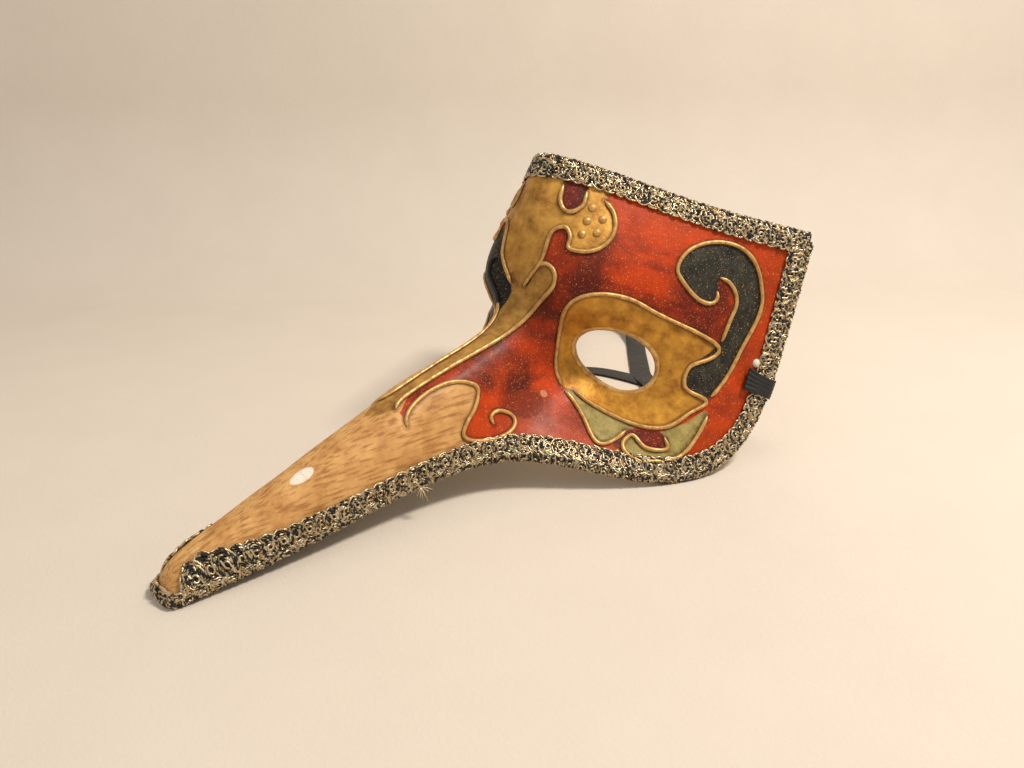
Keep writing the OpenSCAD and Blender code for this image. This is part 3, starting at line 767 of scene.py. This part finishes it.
# Stops of a ribbon: its position and the direction that its face looks in
LEFT_ROUTE = [
    (77, 112, 33, -1, 0, 0), (75, 113, 22, -1, 0, 0.1), (71, 115, 11, -1, 0.2, 0.6),
    (62, 119, 3, -0.4, 0.1, 1), (48, 124, 1.2, 0, 0, 1), (32, 131, 1.2, 0, 0, 1),
    (14, 139, 1.2, 0, 0, 1), (-6, 150, 2.5, 0, 0, 1), (-22, 162, 1.2, 0, 0, 1),
    (-36, 178, 1.2, 0, 0, 1), (-52, 197, 1.2, 0, 0, 1), (-68, 216, 2, 0, 0, 1),
    (-84, 231, 5, 0.5, 0.6, 0.6), (-104, 234, 6.7, 0, 1, 0), (-118, 222, 6.7, -0.9, 0.4, 0),
    (-118, 206, 6.7, -1, -0.2, 0), (-108, 192, 6.7, -0.8, -0.6, 0),
    (-96, 178, 6.7, -0.8, -0.6, 0), (-84, 164, 6.7, -0.8, -0.6, 0),
    (-74, 150, 6.7, -0.8, -0.6, 0)]
RIGHT_ROUTE = [
    (-77, 112, 33, 1, 0, 0), (-76, 115, 22, 1, 0, 0.1), (-74, 121, 11, 1, -0.2, 0.6),
    (-69, 130, 3, 0.3, 0.2, 1), (-60, 141, 1.2, 0, 0, 1), (-46, 150, 1.2, 0, 0, 1),
    (-28, 153, 1.2, 0, 0, 1), (-8, 153, 1.2, 0, 0, 1), (10, 152, 1.2, 0, 0, 1),
    (24, 154, 1.5, 0, 0, 1), (35, 160, 4, 0.2, -0.5, 0.8), (40, 168, 6.7, 0.9, -0.3, 0),
    (37, 177, 6.7, 0.8, 0.6, 0), (28, 183, 6.7, 0.4, 0.9, 0), (14, 185, 6.7, 0, 1, 0),
    (0, 186, 6.7, 0, 1, 0), (-12, 190, 6.7, 0.3, 1, 0)]
ROUTES = {"left": (LEFT_ROUTE, 0.351), "right": (RIGHT_ROUTE, 0.225)}


def size_of(key):
    """The length that is set in the add-on under this key, in millimetres."""
    return round(getattr(bpy.context.scene.mask_sizes, key) / MM, 3)


def ribbon(side):
    """A flat rounded section, turned to face as each stop says, along a smooth route."""
    route, length = ROUTES[side]
    width, thickness = size_of("ribbon_width"), size_of("ribbon_thickness")
    stops = smooth(route, 6)
    line, looks = stops[:, :3], stops[:, 3:]
    ahead = unit(np.gradient(line, axis=0))
    wide = unit(np.cross(ahead, looks))
    thick = np.cross(wide, ahead)
    a = np.arange(20) * 2 * np.pi / 20
    x = np.sign(np.cos(a)) * np.abs(np.cos(a)) ** 0.35 * width / 2
    y = np.sign(np.sin(a)) * np.abs(np.sin(a)) ** 0.6 * thickness / 2
    rings = line[:, None] + wide[:, None] * x[:, None] + thick[:, None] * y[:, None]
    travelled = np.broadcast_to(lengths(line)[:, None], rings.shape[:2])
    strip = np.stack([travelled, np.broadcast_to(x, travelled.shape), 0 * travelled], -1)
    piece = add_piece("tie_ribbon_" + side, rings.reshape(-1, 3), tube_faces(*rings.shape[:2]),
                      [finish_of(woven_black, "Black ribbon", "ribbon")],
                      ["ribbon_" + side], {"strip": strip.reshape(-1, 3)})


def shell_places():
    """Rows spaced evenly in millimetres and even columns; corners that fall within an eye are
    moved straight out on to its ellipse, and cells wholly within it are left out."""
    fine = np.linspace(0, LAST_ROW, 600)
    gone = lengths(face(fine, 0 * fine + 3))
    rows = np.interp(np.linspace(0, gone[-1], 230), gone, fine)
    t, s = np.meshgrid(rows, np.linspace(-LAST_COL, LAST_COL, 181), indexing="ij")
    shape = t.shape
    t, s = t.ravel().copy(), s.ravel().copy()
    x, y, z = eye_coordinates(face(t, np.abs(s)))
    reach = np.hypot(x / (EYE_W / 2 + 0.7), y / (EYE_H / 2 + 0.7))
    hit = (reach < 1) & (np.abs(z) < 25) & (np.abs(s) > 1)
    quads = grid_faces(*shape)
    quads = quads[~hit[quads].all(1)]
    used = np.zeros(len(t), bool)
    used[quads] = True
    snap = np.flatnonzero(hit & used)
    k = 1 / np.maximum(reach[snap], 0.05)
    new_t, new_s = eye_places(x[snap] * k, y[snap] * k)
    t[snap], s[snap] = new_t, np.sign(s[snap]) * new_s
    return t, s, quads


def paint_attributes(t, s):
    """Depth of each place in each coat's area, its distances to the nearest relief line and to
    the rim, and the coordinates of the nose's grain and of the wide brush sweeps."""
    near = face(t, np.abs(s))
    col = np.abs(s)
    areas = {"tan_nose": TAN_NOSE, "worn_cheek": WORN_CHEEK, "gold_panel": GOLD_PANEL,
             "ridge_band": RIDGE_BAND, "eye_gold": EYE_OUTLINE, "olive_panel": OLIVE_PANEL,
             "pale_comma": PALE_COMMA, "slate_comma": SLATE_COMMA, "wine_hook": WINE_HOOK,
             "wine_notch": WINE_NOTCH, "teardrop": TEARDROP, "chip": CHIP, "drip": DRIP,
             "black_socket": BLACK_SOCKET}
    found = {key: depth_in(near, t, col, area) for key, area in areas.items()}
    right, left = s < 0, s >= 0
    for key in ("chip", "drip", "worn_cheek"):
        found[key] = np.where(left, found[key], NOWHERE)
    free = -found["gold_panel"] - 0.5
    found["black_socket"] = np.where(right, np.minimum(found["black_socket"], free), NOWHERE)
    line = smooth(SOCKET_LINE, 4)
    stripe = 0.35 - distance_to(near, face(line[:, 0], line[:, 1]))
    found["socket_gold"] = np.where(right, stripe, NOWHERE)
    best = np.full(len(t), FAR)
    for places in RELIEF.values():
        curve = smooth(places, 2)
        best = np.minimum(best, distance_to(near, face(curve[:, 0], curve[:, 1])))
    found["to_line"] = best
    point = face(t, s)
    found["brush"] = np.stack([point[:, 0] * 0.8, point[:, 1] * 0.03, point[:, 2] * 0.8], -1)
    found["sweep"] = np.stack([(point[:, 0] + point[:, 1]) * 0.02,
                               (point[:, 2] + 0.4 * point[:, 0]) * 0.11, point[:, 1] * 0.03], -1)
    rim_side, rim_top = smooth(SIDE_RIM[5:], 3), smooth(TOP_RIM, 3)
    found["to_rim"] = np.minimum(distance_to(near, face(*rim_side.T)),
                                 distance_to(near, face(*rim_top.T)))
    return found


def shell():
    """Two skins a wall apart, a little uneven as pulp dries, sewn round every open edge."""
    t, s, quads = shell_places()
    out, place = outward(t, s), face(t, s)
    n = len(t)
    skin = place + out * (0.18 * uneven(place, 14.0, 3))[:, None]
    back = place - out * (SHELL_T + 0.25 * uneven(place, 9.0, 4))[:, None]
    edges = np.concatenate([quads[:, [i, (i + 1) % 4]] for i in range(4)])
    code, reverse = edges[:, 0] * n + edges[:, 1], edges[:, 1] * n + edges[:, 0]
    a, b = edges[~np.isin(code, reverse)].T
    walls = np.stack([b, a, a + n, b + n], -1)
    faces = np.concatenate([quads, quads[:, ::-1] + n, walls])
    slots = np.repeat([0, 1, 1], [len(quads), len(quads), len(walls)])
    points = np.concatenate([skin, back])
    keep = np.unique(faces)
    renumbered = np.full(len(points), -1)
    renumbered[keep] = np.arange(len(keep))
    found = {k: np.concatenate([v, v])[keep] for k, v in paint_attributes(t, s).items()}
    add_piece("papier_mache_shell", points[keep], [renumbered[faces]],
              [finish_of(painted_paper), finish_of(bare_paper)], ["shell"],
              found, slots)


def eye_rim(side):
    """A rolled edge: a slightly uneven circle carried round the eye's ellipse."""
    a = np.arange(120) * 2 * np.pi / 120
    t, s = eye_places(EYE_W / 2 * np.cos(a), EYE_H / 2 * np.sin(a))
    line = face(t, s) - outward(t, s) * SHELL_T / 2
    ahead = unit(np.roll(line, -1, 0) - np.roll(line, 1, 0))
    wide = unit(np.cross(ahead, EYE_OUT))
    up = np.cross(wide, ahead)
    b = np.arange(16) * 2 * np.pi / 16
    r = (1.55 + 0.12 * uneven(line, 5.0, 8))[:, None, None]
    rings = line[:, None] + r * (wide[:, None] * np.cos(b)[:, None] + up[:, None] * np.sin(b)[:, None])
    points = rings.reshape(-1, 3) * [SIDES[side], 1, 1]
    walls, _ = tube_faces(120, 16, looped=True)
    add_piece("rolled_eye_rim_" + side, points, [walls], [finish_of(piped_gold)],
              ["eye_rim_" + side], {"crest": np.full(len(points), 0.8)})


def relief_line(key, side):
    """A half-round bead of paste carried along the line: its width wavers and its ends taper,
    and its foot is sunk a little into the shell."""
    half_width, height = size_of("line_half_width"), size_of("line_height")
    places, gone = evenly(smooth(RELIEF[key], 6), 0.7)
    t, s = places.T
    line, n = face(t, s), outward(t, s)
    wide = unit(np.cross(unit(np.gradient(line, axis=0)), n))
    taper = np.clip(np.minimum(gone, gone[-1] - gone) / 2.5, 0.15, 1) ** 0.5
    size = taper * (1 + 0.14 * uneven(line, 3.5, 11))
    a = np.linspace(0, np.pi, 11)
    x = np.concatenate([np.cos(a), [-0.6, 0, 0.6]])
    y = np.concatenate([np.sin(a), [-0.3, -0.3, -0.3]])
    rings = line[:, None] + size[:, None, None] * (
        wide[:, None] * (half_width * x)[:, None] + n[:, None] * (height * y)[:, None])
    # Height across the bead, by which the gold darkens at its foot as patina and painted shade
    crest = np.broadcast_to(y, rings.shape[:2])
    dark = (side == "right") & (key == "ridge_line") & (t > 7.1)
    dark = np.repeat(dark.astype(float)[:, None], len(a) + 3, 1)
    add_piece(key + "_" + side, rings.reshape(-1, 3) * [SIDES[side], 1, 1],
              tube_faces(*rings.shape[:2]), [finish_of(piped_gold)],
              [key + "_" + side], {"crest": crest.ravel(), "blackened": dark.ravel()})


def dome(place, r, dark=0.0, sunk=0.2):
    """A drop: circles that narrow to its crown as the cosine, and rise as the sine."""
    t, s = np.array([place[0]]), np.array([place[1]])
    centre, n, wide = face(t, s)[0], outward(t, s)[0], unit(across(t, s))[0]
    up = np.cross(n, wide)
    a = np.arange(18) * 2 * np.pi / 18
    b = np.linspace(0, 0.47 * np.pi, 8)
    q = r * np.cos(b)[:, None, None]
    rings = centre + q * (wide * np.cos(a)[:, None] + up * np.sin(a)[:, None])
    rings = rings + n * (0.75 * r * np.sin(b) - sunk)[:, None, None]
    # Height on the drop, by which the gold darkens at its foot as patina and painted shade
    crest = np.broadcast_to(np.sin(b)[:, None] + 0.1, rings.shape[:2])
    found = {"crest": crest.ravel(), "blackened": np.full(crest.size, dark)}
    return rings.reshape(-1, 3), tube_faces(*rings.shape[:2]), found


def beads(side):
    """The forehead's drops, with the small pair on the ridge painted over on the right."""
    r = size_of("bead_radius")
    dark = 1.0 if side == "right" else 0.0
    parts = [dome(p, r) for p in BEAD_PLACES]
    parts += [dome(p, 0.6 * r, dark) for p in SMALL_BEAD_PLACES]
    points, faces, found = joined(parts)
    add_piece("forehead_drops_" + side, points * [SIDES[side], 1, 1], faces,
              [finish_of(piped_gold)], ["forehead_beads_" + side], found)


class Rim:
    """The mask's rim as a line, and a strip folded over it. A point of the strip is found by its
    distance along the rim, its distance v from the edge (negative over the fold and on the
    inside) and its height above the shell."""

    def __init__(self, places):
        """Places 0.8 mm apart along the rim, with their points and directions."""
        dense = smooth(places, 8)
        self.places, self.gone = evenly(dense, 0.8)
        self.line = face(*self.places.T)
        self.way = unit(np.gradient(self.line, axis=0))

    def at(self, u, values):
        """Values along the rim, read at the distances u."""
        return np.stack([np.interp(u, self.gone, values[:, k])
                         for k in range(values.shape[1])], -1)

    def point(self, u, v, h):
        """Outside and inside the strip follows the skins; between them it turns half a circle
        about the middle of the wall. At the nose tip it leans towards a place on the ridge."""
        u, v, h = np.broadcast_arrays(np.asarray(u, float), v, h)
        shape = u.shape
        u, v, h = u.ravel(), v.ravel(), h.ravel()
        p, way = self.at(u, self.places), unit(self.at(u, self.way))
        f = np.clip((p[:, :1] - TIP_ROWS[0]) / (TIP_ROWS[1] - TIP_ROWS[0]), 0, 1)
        tip_out = unit(np.cross(way, UP)) + [0, 0, TIP_LEAN]
        n = unit(tip_out + f * (outward(p[:, 0], p[:, 1]) - tip_out))
        inward = unit(np.cross(n, way))
        over = np.pi * SHELL_T / 2
        reach = np.maximum(v, 0) + np.maximum(-v - over, 0)
        share = np.where(v > 0, TIP_SHARE / BRAID_W, TIP_INNER_SHARE / BRAID_INNER_W) * reach
        dt, ds = solved(p[:, 0], p[:, 1], inward * reach[:, None])
        plain = p + np.stack([dt, ds], -1)
        tip = p + share[:, None] * (TIP_AIM - p)
        q = tip + f * (plain - tip)
        q[:, 0] = np.clip(q[:, 0], 0, LAST_ROW)
        q[:, 1] = np.clip(q[:, 1], -LAST_COL, LAST_COL)
        m = unit(tip_out + f * (outward(q[:, 0], q[:, 1]) - tip_out))
        turn = np.clip(-v / (SHELL_T / 2), 0, np.pi)[:, None]
        middle = face(q[:, 0], q[:, 1]) - m * SHELL_T / 2
        found = middle + (SHELL_T / 2 + h[:, None]) * (np.cos(turn) * m - np.sin(turn) * inward)
        return found.reshape(shape + (3,))


SIDE_RIM = [(0, 0.08), (0, 1), (0, 2), (0, 3), (0, 4), (0, 5), (0.1, 6), (0.3, 6)] + [
    (0.6 + 0.5 * k, 6) for k in range(20)] + [(10.4, 6), (10.96, 6)]
TOP_RIM = [(LAST_ROW, 6 - 0.5 * k) for k in range(25)]
PITCH = 5.0
STRANDS = (1.0, 1.75, 2.5, 3.25, 4.0)
FOLD = math.pi * SHELL_T / 2
BANDS = {"outside": (4.4, (0, 1)), "fold": (-1.9, (0, 1)), "inside": (-6.6, (0,))}


def gimp_line(total, r, middle, start):
    """A strand of scroll braid: half circles in turn above and below its middle line, of radius
    r and PITCH - r, so that neighbouring strands nest. Gives distance along and across."""
    count = int(total / PITCH) + 2
    k = np.repeat(np.arange(count), 13)
    a = np.tile(np.linspace(0, 1, 14)[:-1], count) * np.pi
    size = np.where(k % 2 == 0, r, PITCH - r)
    u = k * PITCH + start - size * np.cos(a)
    v = middle + np.where(k % 2 == 0, 1, -1) * size * np.sin(a)
    good = (u > 0.4) & (u < total - 0.4)
    return u[good], v[good]


def strand(rim, middle, start, j, r, phase):
    """One strand of gimp: its section is an ellipse that turns as it goes, as two twisted plies
    do, and it rises and dips by a sine where it crosses the others."""
    su, sv = gimp_line(rim.gone[-1], r, middle, start)
    height = 0.85 + 0.3 * np.sin(2 * np.pi * su / PITCH + j * 1.3 + phase * np.pi)
    line = rim.point(su, sv, height)
    gone = lengths(line)
    wanted = np.arange(0, gone[-1], 0.75)
    line = np.stack([np.interp(wanted, gone, line[:, k]) for k in range(3)], -1)
    a = np.arange(5) * 2 * np.pi / 5
    twist = 1 + 0.26 * np.cos(2 * (a[None, :] - np.pi * wanted[:, None] / 1.5))
    ring = tube(line, 1.0, 5, UP + 0.01)
    ring = line[:, None] + (ring - line[:, None]) * (0.42 * twist)[..., None]
    shine = 0.47 + 0.6 * uneven(line, 0.8, 31 + j) + (0.22 if j in (0, 4) else -0.02)
    foil = np.repeat(shine[:, None], 5, 1) + 0.5 * (twist - 1)
    return ring.reshape(-1, 3), tube_faces(len(line), 5), {"foil": foil.ravel()}


def braid(name, places, side=1):
    """A dark tape folded over the rim with a scalloped edge, and bands of gimp on it, each of
    one wave or of two that are half a wave apart and interlock into rosettes."""
    rim = Rim(places)
    total = rim.gone[-1]
    u = np.linspace(0, total, int(total / 1.5))[:, None]
    across_tape = np.linspace(0, 1, 22)[None, :]
    far = BRAID_W - 1.8 + 0.8 * np.abs(np.sin(np.pi * u / PITCH))
    v = -(FOLD + BRAID_INNER_W) + across_tape * (far + FOLD + BRAID_INNER_W)
    grid = np.concatenate([rim.point(u, v, 0.55).reshape(-1, 3),
                           rim.point(u, v, GAP).reshape(-1, 3)])
    strip = np.stack(np.broadcast_arrays(u, v, 0 * v), -1).reshape(-1, 3)
    flip = [side, 1, 1]
    add_piece(name + "_tape", grid * flip, [sheet_faces(u.shape[0], 22)],
              [finish_of(woven_black, "Braid tape", "tape")], [name],
              {"strip": np.concatenate([strip, strip])})
    for band, (middle, phases) in BANDS.items():
        parts = []
        for phase in phases:
            for j, r in enumerate(STRANDS):
                parts.append(strand(rim, middle, PITCH * (0.5 + phase), j, r, phase))
        points, faces, found = joined(parts)
        add_piece(name + "_" + band, points * flip, faces, [finish_of(lurex_thread)],
                  (), found)


def loose_tuft():
    """Short ends of thread that have frayed out of the braid under the nose."""
    rng = np.random.default_rng(5)
    root = face(np.array([3.9]), np.array([6.0]))[0] + [1.5, 0, -1.0]
    parts = []
    for _ in range(9):
        way = unit(np.array([1.0, -0.4, -0.2]) + 0.7 * rng.normal(size=3))
        f = np.linspace(0, 1, 14)[:, None]
        line = root + way * f * rng.uniform(2.5, 5) - UP * 1.5 * f ** 2
        line[:, 2] = np.maximum(line[:, 2], 0.4)
        ring = tube(line, 0.16, 5, UP + 0.01)
        parts.append((ring.reshape(-1, 3), tube_faces(14, 5), {"foil": np.full(70, 0.9)}))
    points, faces, found = joined(parts)
    add_piece("frayed_tuft", points, faces, [finish_of(lurex_thread)], (), found)


def tab(side):
    """A gathered end of ribbon folded over the braid: the strip ripples and flares outside."""
    rim, thickness = Rim(SIDE_RIM), size_of("ribbon_thickness")
    middle = np.interp(TAB_ROW, rim.places[:, 0], rim.gone)
    x = np.linspace(-1, 1, 26)[:, None]
    v = np.linspace(-(FOLD + 10), 12.5, 48)[None, :]
    flare = 1 + 0.35 * np.clip(v / 12.5, 0, 1) ** 2
    u = middle + 4.3 * x * flare
    ripple = 0.3 * np.sin(5 * np.pi * x) * np.clip(np.abs(v) / 12, 0.2, 1)
    top = rim.point(u, v, BRAID_T + 2 * GAP + thickness + ripple)
    low = rim.point(u, v, BRAID_T + 2 * GAP + ripple)
    strip = np.stack(np.broadcast_arrays(v, u, 0 * u * v), -1).reshape(-1, 3)
    add_piece("ribbon_end_" + side, np.concatenate([top.reshape(-1, 3), low.reshape(-1, 3)])
              * [SIDES[side], 1, 1], [sheet_faces(26, 48)],
              [finish_of(woven_black, "Black ribbon", "ribbon")],
              ["ribbon_tab_" + side], {"strip": np.concatenate([strip, strip])})


def glue(side):
    """A drop of glue on the shell, a little in from the rim above the ribbon's end."""
    start = np.array([GLUE_ROW]), np.array([6.0])
    dt, ds = solved(*start, np.array([[-16.0, 0.0, 3.0]]))
    points, faces, found = dome((start[0][0] + dt[0], min(start[1][0] + ds[0], 6)), 2.0)
    add_piece("glue_drop_" + side, points * [SIDES[side], 1, 1], faces,
              [finish_of(dried_glue)], ["glue_dab_" + side], found)


# ---------------------------------------------------------------------------------------
# Stage

CAMERA_AT, CAMERA_TURN, CAMERA_TILT, CAMERA_ROLL = (243.0, -204.5, 154.0), 45.85, 19.45, -0.95
CAMERA_LENS, SENSOR_W = 27.4, 36.0

# Backdrop: where it starts and turns up, measured from below the camera, the radius of the
# turn, and the wall's height and half width
FLOOR_START, TURN_START, TURN_R, WALL_H, HALF_WIDE = -2500.0, 640.0, 170.0, 2500.0, 3000.0

# Each light: how far right, back and up it is from the mask's middle, its side in metres, its
# share of the key's power, and its tone
MASK_MIDDLE = np.array([0.0, 20.0, 60.0])
LIGHTS = [("Key", (540, 160, 800), 0.2, 1.0, (1.0, 0.92, 0.82)),
          ("Side", (-800, 500, 700), 1.2, 0.16, (1.0, 0.95, 0.9))]
DAYLIGHT = (1.0, 0.95, 0.89, 1)


def camera_axes():
    """Right, up and back axes of the camera, from its turn, tilt and roll."""
    a, e, r = (math.radians(v) for v in (CAMERA_TURN, CAMERA_TILT, CAMERA_ROLL))
    back = np.array([math.sin(a) * math.cos(e), -math.cos(a) * math.cos(e), math.sin(e)])
    right = np.array([math.cos(a), math.sin(a), 0.0])
    up = np.cross(back, right)
    return (math.cos(r) * right + math.sin(r) * up, math.cos(r) * up - math.sin(r) * right, back)


def make_camera():
    """The scene's camera, turned as its axes say."""
    x, y, z = camera_axes()
    lens = bpy.data.cameras.new("Camera")
    lens.lens, lens.sensor_width, lens.clip_start = CAMERA_LENS, SENSOR_W, 0.01
    camera = bpy.data.objects.new("Camera", lens)
    camera.matrix_world = Matrix([[x[i], y[i], z[i], CAMERA_AT[i] * MM] for i in range(3)]
                                 + [[0, 0, 0, 1]])
    bpy.context.scene.collection.objects.link(camera)
    bpy.context.scene.camera = camera


def make_backdrop():
    """A floor that turns up into a wall: flat, a quarter circle, then straight up. Its faces
    look towards the mask, because it can be seen through from behind."""
    a = math.radians(CAMERA_TURN)
    away, right = np.array([-math.sin(a), math.cos(a), 0]), np.array([math.cos(a), math.sin(a), 0])
    bend = np.linspace(0, np.pi / 2, 24)
    far = np.concatenate([[FLOOR_START], TURN_START + TURN_R * np.sin(bend), [TURN_START + TURN_R]])
    high = np.concatenate([[0.0], TURN_R * (1 - np.cos(bend)), [WALL_H]])
    origin = np.array([CAMERA_AT[0], CAMERA_AT[1], 0.0])
    wide = np.linspace(-HALF_WIDE, HALF_WIDE, 9)
    grid = (origin + far[:, None, None] * away + high[:, None, None] * UP
            + wide[None, :, None] * right)
    mesh = bpy.data.meshes.new("Backdrop")
    mesh.from_pydata([tuple(p) for p in grid.reshape(-1, 3) * MM], [],
                     grid_faces(len(far), len(wide)).tolist())
    mesh.polygons.foreach_set("use_smooth", np.ones(len(mesh.polygons), bool))
    mesh.materials.append(finish_of(backdrop_cloth))
    floor = bpy.data.objects.new("Backdrop", mesh)
    bpy.context.scene.collection.objects.link(floor)


def make_lights(key_power, fill):
    """A small warm key from the right and above, a wide weak light from the left, and soft
    daylight all round."""
    right, _, back = camera_axes()
    for name, (to_right, to_back, to_up), size, share, tone in LIGHTS:
        at = to_right * right + to_back * back + to_up * UP
        lamp = bpy.data.lights.new(name, "AREA")
        lamp.energy, lamp.size, lamp.color = key_power * share, size, tone
        obj = bpy.data.objects.new(name, lamp)
        z = unit(at)
        x = unit(np.cross(UP, z))
        y = np.cross(z, x)
        p = (MASK_MIDDLE + at) * MM
        obj.matrix_world = Matrix([[x[i], y[i], z[i], p[i]] for i in range(3)] + [[0, 0, 0, 1]])
        bpy.context.scene.collection.objects.link(obj)
    world = bpy.data.worlds.new("Soft daylight")
    world.use_nodes = True
    world.node_tree.nodes["Background"].inputs[0].default_value = DAYLIGHT
    world.node_tree.nodes["Background"].inputs[1].default_value = fill
    bpy.context.scene.world = world
    bpy.context.scene.view_settings.view_transform = "Standard"


# ---------------------------------------------------------------------------------------
# The add-on

def length_setting(name, description, size):
    """A length that the user can change, with its default given in millimetres."""
    return bpy.props.FloatProperty(name=name, description=description, default=size * MM,
                                   min=0.1 * MM, precision=5, unit="LENGTH")


def colour_setting(key):
    """A colour that the user can change, named after its key, with its default from TONES."""
    label = key.replace("_", " ").capitalize()
    return bpy.props.FloatVectorProperty(
        name=label, description="Screen colour of this coat or thread: " + label.lower(), size=3,
        min=0.0, max=1.0, default=[v / 255 for v in TONES[key]], subtype="COLOR_GAMMA")


class MaskSizes(bpy.types.PropertyGroup):
    ribbon_width: length_setting("Ribbon width", "Width of the tying ribbons", 12.0)
    ribbon_thickness: length_setting("Ribbon thickness", "Thickness of the tying ribbons", 0.8)
    bead_radius: length_setting("Drop radius", "Radius of a large drop on the forehead", 1.9)
    line_half_width: length_setting("Line half width", "Half the width of a relief line", 0.98)
    line_height: length_setting("Line height", "How far a relief line stands up", 1.25)


class MaskColours(bpy.types.PropertyGroup):
    __annotations__ = {key: colour_setting(key) for key in TONES}


class MaskStage(bpy.types.PropertyGroup):
    key_power: bpy.props.FloatProperty(
        name="Key light", description="Power of the key light", default=9.5, min=0.0,
        unit="POWER")
    fill: bpy.props.FloatProperty(
        name="Daylight", description="Strength of the even light", default=0.46, min=0.0,
        subtype="FACTOR")


class MASK_OT_stage(bpy.types.Operator):
    """Make the camera, the pale backdrop and the lights"""
    bl_idname = "mask.stage"
    bl_label = "Stage"

    def execute(self, context):
        make_camera()
        make_backdrop()
        make_lights(context.scene.mask_stage.key_power, context.scene.mask_stage.fill)
        return {"FINISHED"}


class MASK_OT_ribbons(bpy.types.Operator):
    """Lay the two tying ribbons behind the mask"""
    bl_idname = "mask.ribbons"
    bl_label = "Ribbons"

    def execute(self, context):
        for side in SIDES:
            ribbon(side)
        return {"FINISHED"}


class MASK_OT_shell(bpy.types.Operator):
    """Make the painted papier-mache shell"""
    bl_idname = "mask.shell"
    bl_label = "Shell"

    def execute(self, context):
        shell()
        return {"FINISHED"}


class MASK_OT_eye_rims(bpy.types.Operator):
    """Roll the paper edge of each eye opening"""
    bl_idname = "mask.eye_rims"
    bl_label = "Eye rims"

    def execute(self, context):
        for side in SIDES:
            eye_rim(side)
        return {"FINISHED"}


class MASK_OT_drops(bpy.types.Operator):
    """Set the drops of relief paste on the forehead and the ridge"""
    bl_idname = "mask.drops"
    bl_label = "Drops"

    def execute(self, context):
        for side in SIDES:
            beads(side)
        return {"FINISHED"}


class MASK_OT_relief(bpy.types.Operator):
    """Pipe the gold relief lines of both sides"""
    bl_idname = "mask.relief"
    bl_label = "Relief lines"

    def execute(self, context):
        for side in SIDES:
            for key in RELIEF:
                relief_line(key, side)
        return {"FINISHED"}


class MASK_OT_braid(bpy.types.Operator):
    """Fold the three lengths of braid over the rim"""
    bl_idname = "mask.braid"
    bl_label = "Braid"

    def execute(self, context):
        braid("braid_left", SIDE_RIM)
        braid("braid_right", SIDE_RIM, -1)
        braid("braid_top", TOP_RIM)
        return {"FINISHED"}


class MASK_OT_tuft(bpy.types.Operator):
    """Fray a few ends of thread out of the braid"""
    bl_idname = "mask.tuft"
    bl_label = "Frayed tuft"

    def execute(self, context):
        loose_tuft()
        return {"FINISHED"}


class MASK_OT_ribbon_ends(bpy.types.Operator):
    """Fold the ribbon ends over the braid"""
    bl_idname = "mask.ribbon_ends"
    bl_label = "Ribbon ends"

    def execute(self, context):
        for side in SIDES:
            tab(side)
        return {"FINISHED"}


class MASK_OT_glue(bpy.types.Operator):
    """Add a drop of dried glue beside each ribbon end"""
    bl_idname = "mask.glue"
    bl_label = "Glue"

    def execute(self, context):
        for side in SIDES:
            glue(side)
        return {"FINISHED"}


OPERATORS = [MASK_OT_stage, MASK_OT_ribbons, MASK_OT_shell, MASK_OT_eye_rims, MASK_OT_drops,
             MASK_OT_relief, MASK_OT_braid, MASK_OT_tuft, MASK_OT_ribbon_ends, MASK_OT_glue]
SETTINGS = {"mask_sizes": MaskSizes, "mask_colours": MaskColours, "mask_stage": MaskStage}


class MASK_PT_panel(bpy.types.Panel):
    """Lists the settings and the operators"""
    bl_idname = "MASK_PT_panel"
    bl_label = "Mask"
    bl_space_type = "VIEW_3D"
    bl_region_type = "UI"
    bl_category = "Mask"

    def draw(self, context):
        for name, group in SETTINGS.items():
            for key in group.__annotations__:
                self.layout.prop(getattr(context.scene, name), key)
        for operator in OPERATORS:
            self.layout.operator(operator.bl_idname)


CLASSES = list(SETTINGS.values()) + OPERATORS + [MASK_PT_panel]


def register():
    """Registers the classes and hangs the settings on the scene."""
    for each in CLASSES:
        bpy.utils.register_class(each)
    for name, group in SETTINGS.items():
        setattr(bpy.types.Scene, name, bpy.props.PointerProperty(type=group))


def unregister():
    """Takes away what register added."""
    for name in SETTINGS:
        delattr(bpy.types.Scene, name)
    for each in reversed(CLASSES):
        bpy.utils.unregister_class(each)


def main():
    register()
    for operator in OPERATORS:
        getattr(bpy.ops.mask, operator.bl_idname.split(".")[1])()


if __name__ == "__main__":
    main()
